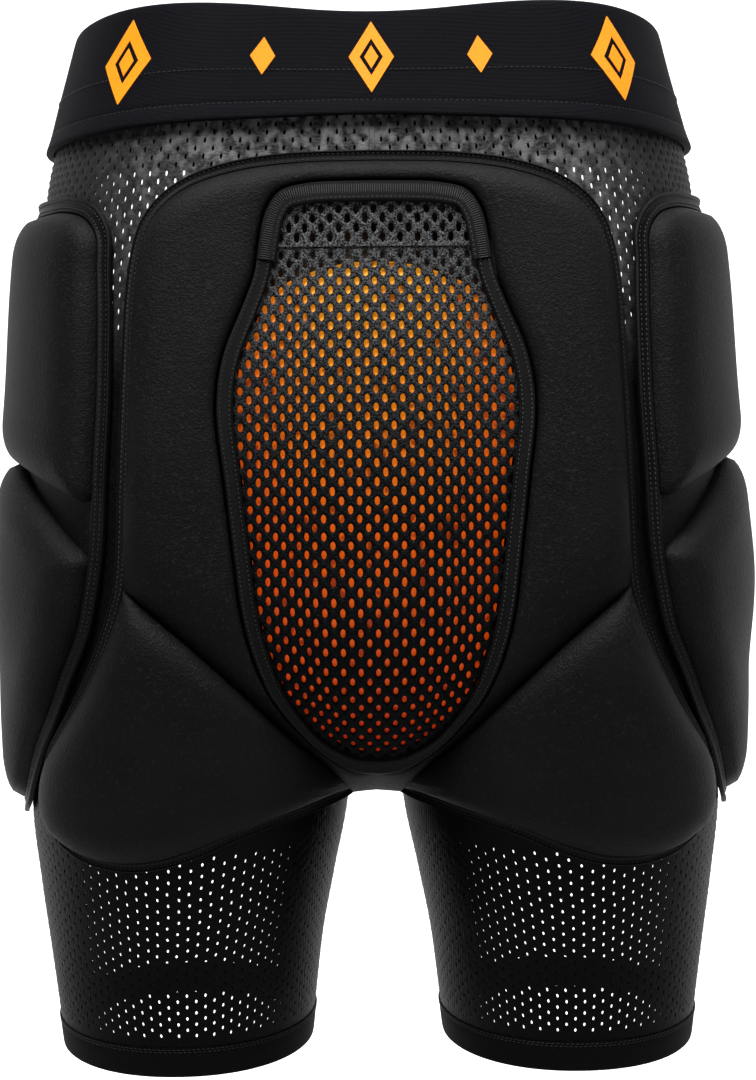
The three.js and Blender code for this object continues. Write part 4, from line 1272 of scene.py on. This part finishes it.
def build_lobes():
    foot_end = (LOBE_FOOT_POINTS[-1] + LOBE_FOOT_POINTS[-2]) / 2
    side_and_foot = np.vstack([LOBE_SIDE_POINTS, LOBE_FOOT_POINTS[:-1], foot_end[None]])
    crease_back = np.vstack([stretch(CREASE_POINTS, CREASE_COUNT), CREASE_POINTS[-1:]])[1:-1][::-1]
    outline = np.vstack([stretch(side_and_foot, 150), foot_end[None], crease_back])
    outline = kept_beside(narrowed(outline, CREASE_GAP / 2), LOBE_TAPE_ROOM)
    middle = np.array([0.64 * LOBE_HALF_WIDTH, LOBE_LOW + 0.36 * (CREASE_TOP - LOBE_LOW)])
    crease_line = catmull_rom(CREASE_POINTS, 8)
    free_edge = outline[:151]

    def lift(places):
        span = PAD_HALF_WIDTH - TIP_HALF_WIDTH
        taper = np.clip(0.36 + (places[:, 0] - TIP_HALF_WIDTH) / span * 1.4, 0.36, 1)
        rise = (crown(distance_to(places, crease_line), *LOBE_CREASE_CROWN)
                * crown(distance_to(places, free_edge), *LOBE_EDGE_CROWN))
        low = clear(places) + PAD_EDGE
        return low + (PAD_THICKNESS - PAD_CLEARANCE - PAD_EDGE + 1.2) * taper * rise

    shown = np.linspace(0, 1, 26) ** 0.8
    shape = ring(REAR_VIEW, np.broadcast_to(middle, outline.shape), outline,
                 pad_rows(shown, lift, clear, clear_middle))
    for word, pad in sides(shape):
        make(f"seat_pad_lobe_{word}", pad, pad_material,
                       f"rear_pad_lobe_{word}")


# Flat tapes with a raised bead on each edge and rows of stitches

TAPE_SECTION = (
    (0.00, 0.75), (0.05, 1.15), (0.14, 1.2), (0.22, 0.85), (0.5, 0.8), (0.78, 0.85), (0.86, 1.2),
    (0.95, 1.15), (1.00, 0.7),
)


def tape(view, path, width, back, closed, fit=lambda places: places):
    """Tape beside a path, of a width and over a back, and the stitches on it."""
    inner = fit(outwards(view, path, PIECE_GAP, closed))
    outer = fit(outwards(view, path, PIECE_GAP + width, closed))
    rows = [(share, lambda places, h=height: back(places) + TAPE_THICKNESS * h)
            for share, height in TAPE_SECTION]
    rows += [(1.0, back), (0.0, back)]
    shape = ring(view, inner, outer, rows, closed)
    stitched = []
    for share in (0.3, 0.7):
        line, normals = line_on(view, inner + (outer - inner) * share,
                                lambda places: back(places) + TAPE_THICKNESS * 0.9, closed)
        stitched.append(stitch_row(line, normals, *TAPE_STITCH))
    return shape, joined(stitched)


def build_rear_tapes():
    side = np.vstack([SHOULDER_POINTS, LOBE_SIDE_POINTS[1:]])
    shoulder = spaced(np.vstack([stretch(side, 260), side[-1:]]), 261)
    upper_path = np.vstack([mirrored(shoulder[1:]), shoulder])
    foot = np.vstack([stretch(LOBE_FOOT_POINTS, 110), LOBE_FOOT_POINTS[-1:]])
    lower_path = np.vstack([foot, TIP[None], mirrored(foot)])
    for word, path in (("upper", upper_path), ("lower", lower_path)):
        shape, threads = tape(REAR_VIEW, path, TAPE_WIDTH, clear, False, kept_beside)
        make(f"seat_tape_{word}", shape, tape_material, f"rear_tape_{word}")
        make_stitches(f"seat_tape_stitches_{word}", threads)


# Tailbone window


def open_half(z):
    half = WINDOW_INNER[:HALF_COUNT + 1]
    return np.interp(-z, -half[:, 1], half[:, 0], left=0, right=0)


INNER_TOP = WINDOW_INNER[0, 1]
INNER_BOTTOM = WINDOW_INNER[HALF_COUNT, 1]
NET_TOP = INNER_TOP - FLAP_HEIGHT
NET_BOTTOM = INNER_BOTTOM + 1.5


def dome(places):
    half = np.maximum(open_half(places[:, 1]), 1)
    rise = np.interp(places[:, 1], [NET_BOTTOM, NET_TOP], [-1, 1])
    return np.maximum(1 - (places[:, 0] / half) ** 2, 0) * np.maximum(1 - rise**2, 0)


def net_lift(places):
    return NET_EDGE_HEIGHT + NET_RISE * dome(places) ** 0.8


NET_PITCH = 7.1
NET_ROW = 3.65
NET_HOLE = (0.31, 0.5)
FLAP_HOLE = (0.36, 0.56)
NET_WALL = 1.1
NET_RELIEF = 0.9
FLAP_RELIEF = 1.0
UNDER_BINDING = 2.5


def net_sheet(low, high, lift, relief, hole):
    """Net cut to the window's outline, which it passes by a little to go under the binding."""
    half_steps = 2 * math.ceil(WINDOW_HALF_WIDTH / NET_PITCH)
    across = np.arange(-half_steps, half_steps + 1) * NET_PITCH / 2
    rows = int((high - low) / NET_ROW)
    up = low + (high - low) * np.arange(rows + 1) / rows
    across, up = np.meshgrid(across, up)
    places = np.stack([across.ravel(), up.ravel()], axis=1)
    feet, normals = feet_and_normals(REAR_VIEW, places)
    points = feet + normals * lift(places)[:, None]
    near_edge = distance_to(places, WINDOW_INNER, closed=True) < UNDER_BINDING
    shape = across.shape
    keep = (inside_of(places, WINDOW_INNER) | near_edge).reshape(shape)
    holes_across, holes_up = (np.where(keep, share, 0) for share in hole)
    return lattice(points.reshape(*shape, 3), normals.reshape(*shape, 3), holes_across, holes_up,
                   NET_WALL, relief, keep)


def inside_of(places, outline):
    """Whether flat places lie inside a closed outline."""
    count = np.zeros(len(places), int)
    x, z = places.T
    for (x0, z0), (x1, z1) in zip(outline, np.roll(outline, -1, axis=0)):
        spans = (z0 > z) != (z1 > z)
        if z1 != z0:
            count += spans & (x < (x1 - x0) * (z - z0) / (z1 - z0) + x0)
    return count % 2 == 1


HEAD_EXTRA = 1.8

# Sections of the binding and of its head, as (share of the width, height over the tape's own)
BINDING_SECTION = (
    (0.0, -1.3), (0.04, -0.55), (0.14, -0.25), (0.24, -0.75), (0.5, -0.35), (0.78, -0.55),
    (0.88, -0.2), (0.97, -0.5), (1.0, -1.2),
)
HEAD_SECTION = (
    (0.0, -1.6), (0.03, -0.1), (0.12, 0.35), (0.24, 0.1), (0.6, 0.25), (0.96, 0.15), (1.0, -0.6),
    (1.0, -1.6),
)


def build_binding():
    outer = narrowed(WINDOW_OUTLINE, PIECE_GAP)
    rows = [(share, level(WINDOW_TAPE_HEIGHT + drop)) for share, drop in BINDING_SECTION]
    rows += [(1.0, clear), (0.0, clear)]
    make("window_binding_tape", ring(REAR_VIEW, WINDOW_INNER, outer, rows), tape_material,
         "window_binding")
    head = np.vstack([outer[HALF_COUNT + 1:], outer[:HALF_COUNT]])
    head = head[head[:, 1] > NET_TOP - 4]
    inner_head = narrowed(head, WINDOW_TAPE_WIDTH + HEAD_EXTRA, closed=False)
    rows = [(share, level(WINDOW_TAPE_HEIGHT + drop)) for share, drop in HEAD_SECTION]
    make("window_binding_head", ring(REAR_VIEW, inner_head, head, rows, closed=False),
         tape_material)
    parts = []
    for inside, outside, share, lift, stitch, closed in (
            (WINDOW_INNER, outer, 0.24, -0.45, BINDING_STITCH, True),
            (WINDOW_INNER, outer, 0.8, -0.45, BINDING_STITCH, True),
            (inner_head, head, 0.62, 0.25, HEAD_STITCH, False),
            (inner_head, head, 0.2, 0.15, BINDING_STITCH, False)):
        line, normals = line_on(REAR_VIEW, inside + (outside - inside) * share,
                                level(WINDOW_TAPE_HEIGHT + lift), closed)
        parts.append(stitch_row(line, normals, *stitch, crosswise=stitch is HEAD_STITCH))
    make_stitches("window_binding_stitches", joined(parts))


def build_net():
    net = make("window_spacer_net",
               net_sheet(INNER_BOTTOM - 3, NET_TOP + 1.5, net_lift, NET_RELIEF, NET_HOLE),
               net_material, "window_net", NET_ANGLE)
    flap_lift = level(NET_EDGE_HEIGHT + 0.7)
    flap = make("window_net_flap",
                net_sheet(NET_TOP + 1.2, INNER_TOP + 3, flap_lift, FLAP_RELIEF, FLAP_HOLE),
                net_material, "window_flap", NET_ANGLE)


def build_insert():
    """Domed foam under the net, up to the flap's foot."""
    top = NET_TOP - 4.0
    outline = narrowed(WINDOW_INNER, 1.2)
    outline[:, 1] = np.minimum(outline[:, 1], top - 0.0065 * outline[:, 0] ** 2)
    middle = np.array([0.0, (INNER_BOTTOM + top) / 2])

    def lift(places):
        edge = crown(distance_to(places, outline, closed=True), *INSERT_CROWN)
        low = clear_middle(places) + 2.5
        return low + (net_lift(places) - 1.5 - low) * edge

    rows = [(share, lift) for share in np.linspace(0, 1, 34) ** 0.8]
    rows += [(share, clear_middle) for share in np.linspace(1, 0, 12)]
    shape = ring(REAR_VIEW, np.broadcast_to(middle, outline.shape), outline, rows)
    make("tailbone_foam", shape, insert_material, "tailbone_insert")


# Hip pads


def build_hip_pads():
    split = HIP_LOW + HIP_SPLIT_HEIGHT

    def upper_foot(across):
        return split + HIP_NOTCH * (1 - (across / HIP_PAD_HALF_LENGTH) ** 2)

    def lower_head(across):
        return (split + HIP_NOTCH - PIECE_GAP
                - (HIP_NOTCH + HIP_FLAT) * np.abs(across / HIP_PAD_HALF_LENGTH) ** 1.6)

    def cut_by(curve, side):
        """Part of the outline above or below a curve, and the curve between its ends."""
        height = side * (HIP_OUTLINE[:, 1] - curve(HIP_OUTLINE[:, 0]))
        kept = height > 1.0
        start = int(np.nonzero(kept & ~np.roll(kept, 1))[0][0])
        run = np.roll(np.arange(len(HIP_OUTLINE)), -start)
        run = run[kept[run]]
        part = HIP_OUTLINE[run]
        across = np.linspace(part[-1, 0], part[0, 0], 72)[1:-1]
        closing = np.stack([across, curve(across)], axis=1)
        return spaced(np.vstack([part, closing]), 220, closed=True)

    for level_word, curve, side_of in (("upper", upper_foot, 1), ("lower", lower_head, -1)):
        outline = narrowed(cut_by(curve, side_of), PIECE_GAP / 2)
        middle = outline.mean(0)

        def lift(places, edge=outline, centre=middle):
            to_edge = distance_to(places, edge, closed=True)
            far = np.linalg.norm((places - centre) / np.array([80.0, 70.0]), axis=1)
            full = HIP_PAD_THICKNESS - HIP_CLEARANCE + 1.6 * np.clip(1 - far**2, 0, 1)
            return HIP_CLEARANCE + PAD_EDGE + (full - PAD_EDGE) * crown(to_edge, *HIP_CROWN)

        shown = np.concatenate([[0.0], np.linspace(0.04, 1, 24) ** 0.85])
        rows = pad_rows(shown, lift, hip_clear, hip_clear_middle)
        shape = ring(HIP_VIEW, np.broadcast_to(middle, outline.shape), outline, rows)
        for word, pad in sides(shape):
            name = f"{level_word}_{word}"
            make(f"hip_cushion_{name}", pad, pad_material,
                           f"hip_pad_{name}")
    middle = HIP_OUTLINE.mean(0)
    rows = [(share, level(HIP_CLEARANCE - 0.2)) for share in np.linspace(0, 1, 14)]
    rows += [(share, level(0.4)) for share in np.linspace(1, 0, 14)]
    web = ring(HIP_VIEW, np.broadcast_to(middle, HIP_OUTLINE.shape), HIP_OUTLINE, rows)
    for word, shape in sides(web):
        piece = make(f"hip_cover_{word}", shape, pad_material)
    binding, stitches = tape(HIP_VIEW, HIP_OUTLINE, HIP_TAPE_WIDTH, hip_clear, True)
    for (word, shape), (_, threads) in zip(sides(binding), sides(stitches)):
        make(f"hip_binding_{word}", shape, tape_material, f"hip_tape_{word}")
        make_stitches(f"hip_binding_stitches_{word}", threads)


build_rear_pad()
build_lobes()
build_rear_tapes()
build_binding()
build_net()
build_insert()
build_hip_pads()


# Floor and backdrop in one pale sweep, light and camera, in metres

FLOOR_HEIGHT = -0.60
LIT_FROM = 0.35
FLOOR_LINE = (
    (-4.0, 0.0), (-2.0, 0.0), (LIT_FROM, 0.0), (1.2, 0.0), (1.6, 0.04), (2.0, 0.16), (2.3, 0.38),
    (2.5, 0.7), (2.6, 1.1), (2.6, 4.0),
)


def plain_material(name, colour, glow):
    material = bpy.data.materials.new(name)
    material.use_nodes = True
    shader = material.node_tree.nodes["Principled BSDF"]
    shader.inputs["Base Color"].default_value = (*colour, 1)
    shader.inputs["Roughness"].default_value = 0.9
    shader.inputs["Specular IOR Level"].default_value = 0.1
    shader.inputs["Emission Color"].default_value = (1, 1, 1, 1)
    shader.inputs["Emission Strength"].default_value = glow
    return material


def build_floor():
    """Pale floor that turns up into a lit backdrop on the far side of the shorts."""
    points = [(x, y, z + FLOOR_HEIGHT) for y, z in FLOOR_LINE for x in (-5.0, 5.0)]
    faces = [(2 * k, 2 * k + 1, 2 * k + 3, 2 * k + 2) for k in range(len(FLOOR_LINE) - 1)]
    mesh = bpy.data.meshes.new("floor")
    mesh.from_pydata(points, [], faces)
    mesh.materials.append(plain_material("pale_floor", (0.4, 0.4, 0.4), 0.0))
    mesh.materials.append(plain_material("lit_backdrop", (0.5, 0.5, 0.5), 1.0))
    for face in mesh.polygons:
        face.material_index = int(face.center.y > LIT_FROM)
    floor = bpy.data.objects.new("floor", mesh)
    bpy.context.scene.collection.objects.link(floor)


def add_light(name, place, target, size, power):
    light = bpy.data.lights.new(name, "AREA")
    light.shape = "RECTANGLE"
    light.size, light.size_y = size
    light.energy = power
    holder = bpy.data.objects.new(name, light)
    holder.location = place
    holder.rotation_euler = (Vector(target) - Vector(place)).to_track_quat("-Z", "Y").to_euler()
    bpy.context.scene.collection.objects.link(holder)


def add_camera():
    camera = bpy.data.cameras.new("camera")
    camera.sensor_width = 36.0
    camera.lens = camera.sensor_width * LENS_SHARE
    camera.clip_start = 0.05
    holder = bpy.data.objects.new("camera", camera)
    holder.location = [value * 0.001 for value in CAMERA_PLACE]
    turn = Euler((math.pi / 2 - CAMERA_PITCH, 0, CAMERA_TURN), "XYZ").to_matrix()
    roll = Euler((0, 0, -CAMERA_ROLL), "XYZ").to_matrix()
    holder.rotation_euler = (turn @ roll).to_euler()
    bpy.context.scene.collection.objects.link(holder)
    bpy.context.scene.camera = holder


build_floor()
seat = (0.0, 0.0, -0.2)
add_light("key", (-0.4, -0.95, 1.8), seat, (0.8, 0.8), 76)
add_light("fill", (1.3, -0.9, 1.2), seat, (0.8, 0.8), 17)
add_light("top", (0.1, -0.3, 1.5), seat, (1.6, 0.6), 26)
world = bpy.data.worlds.new("studio")
world.use_nodes = True
sky = world.node_tree.nodes["Background"]
sky.inputs["Color"].default_value = (1, 1, 1, 1)
sky.inputs["Strength"].default_value = 0.06
bpy.context.scene.world = world
bpy.context.scene.view_settings.view_transform = "Standard"
add_camera()
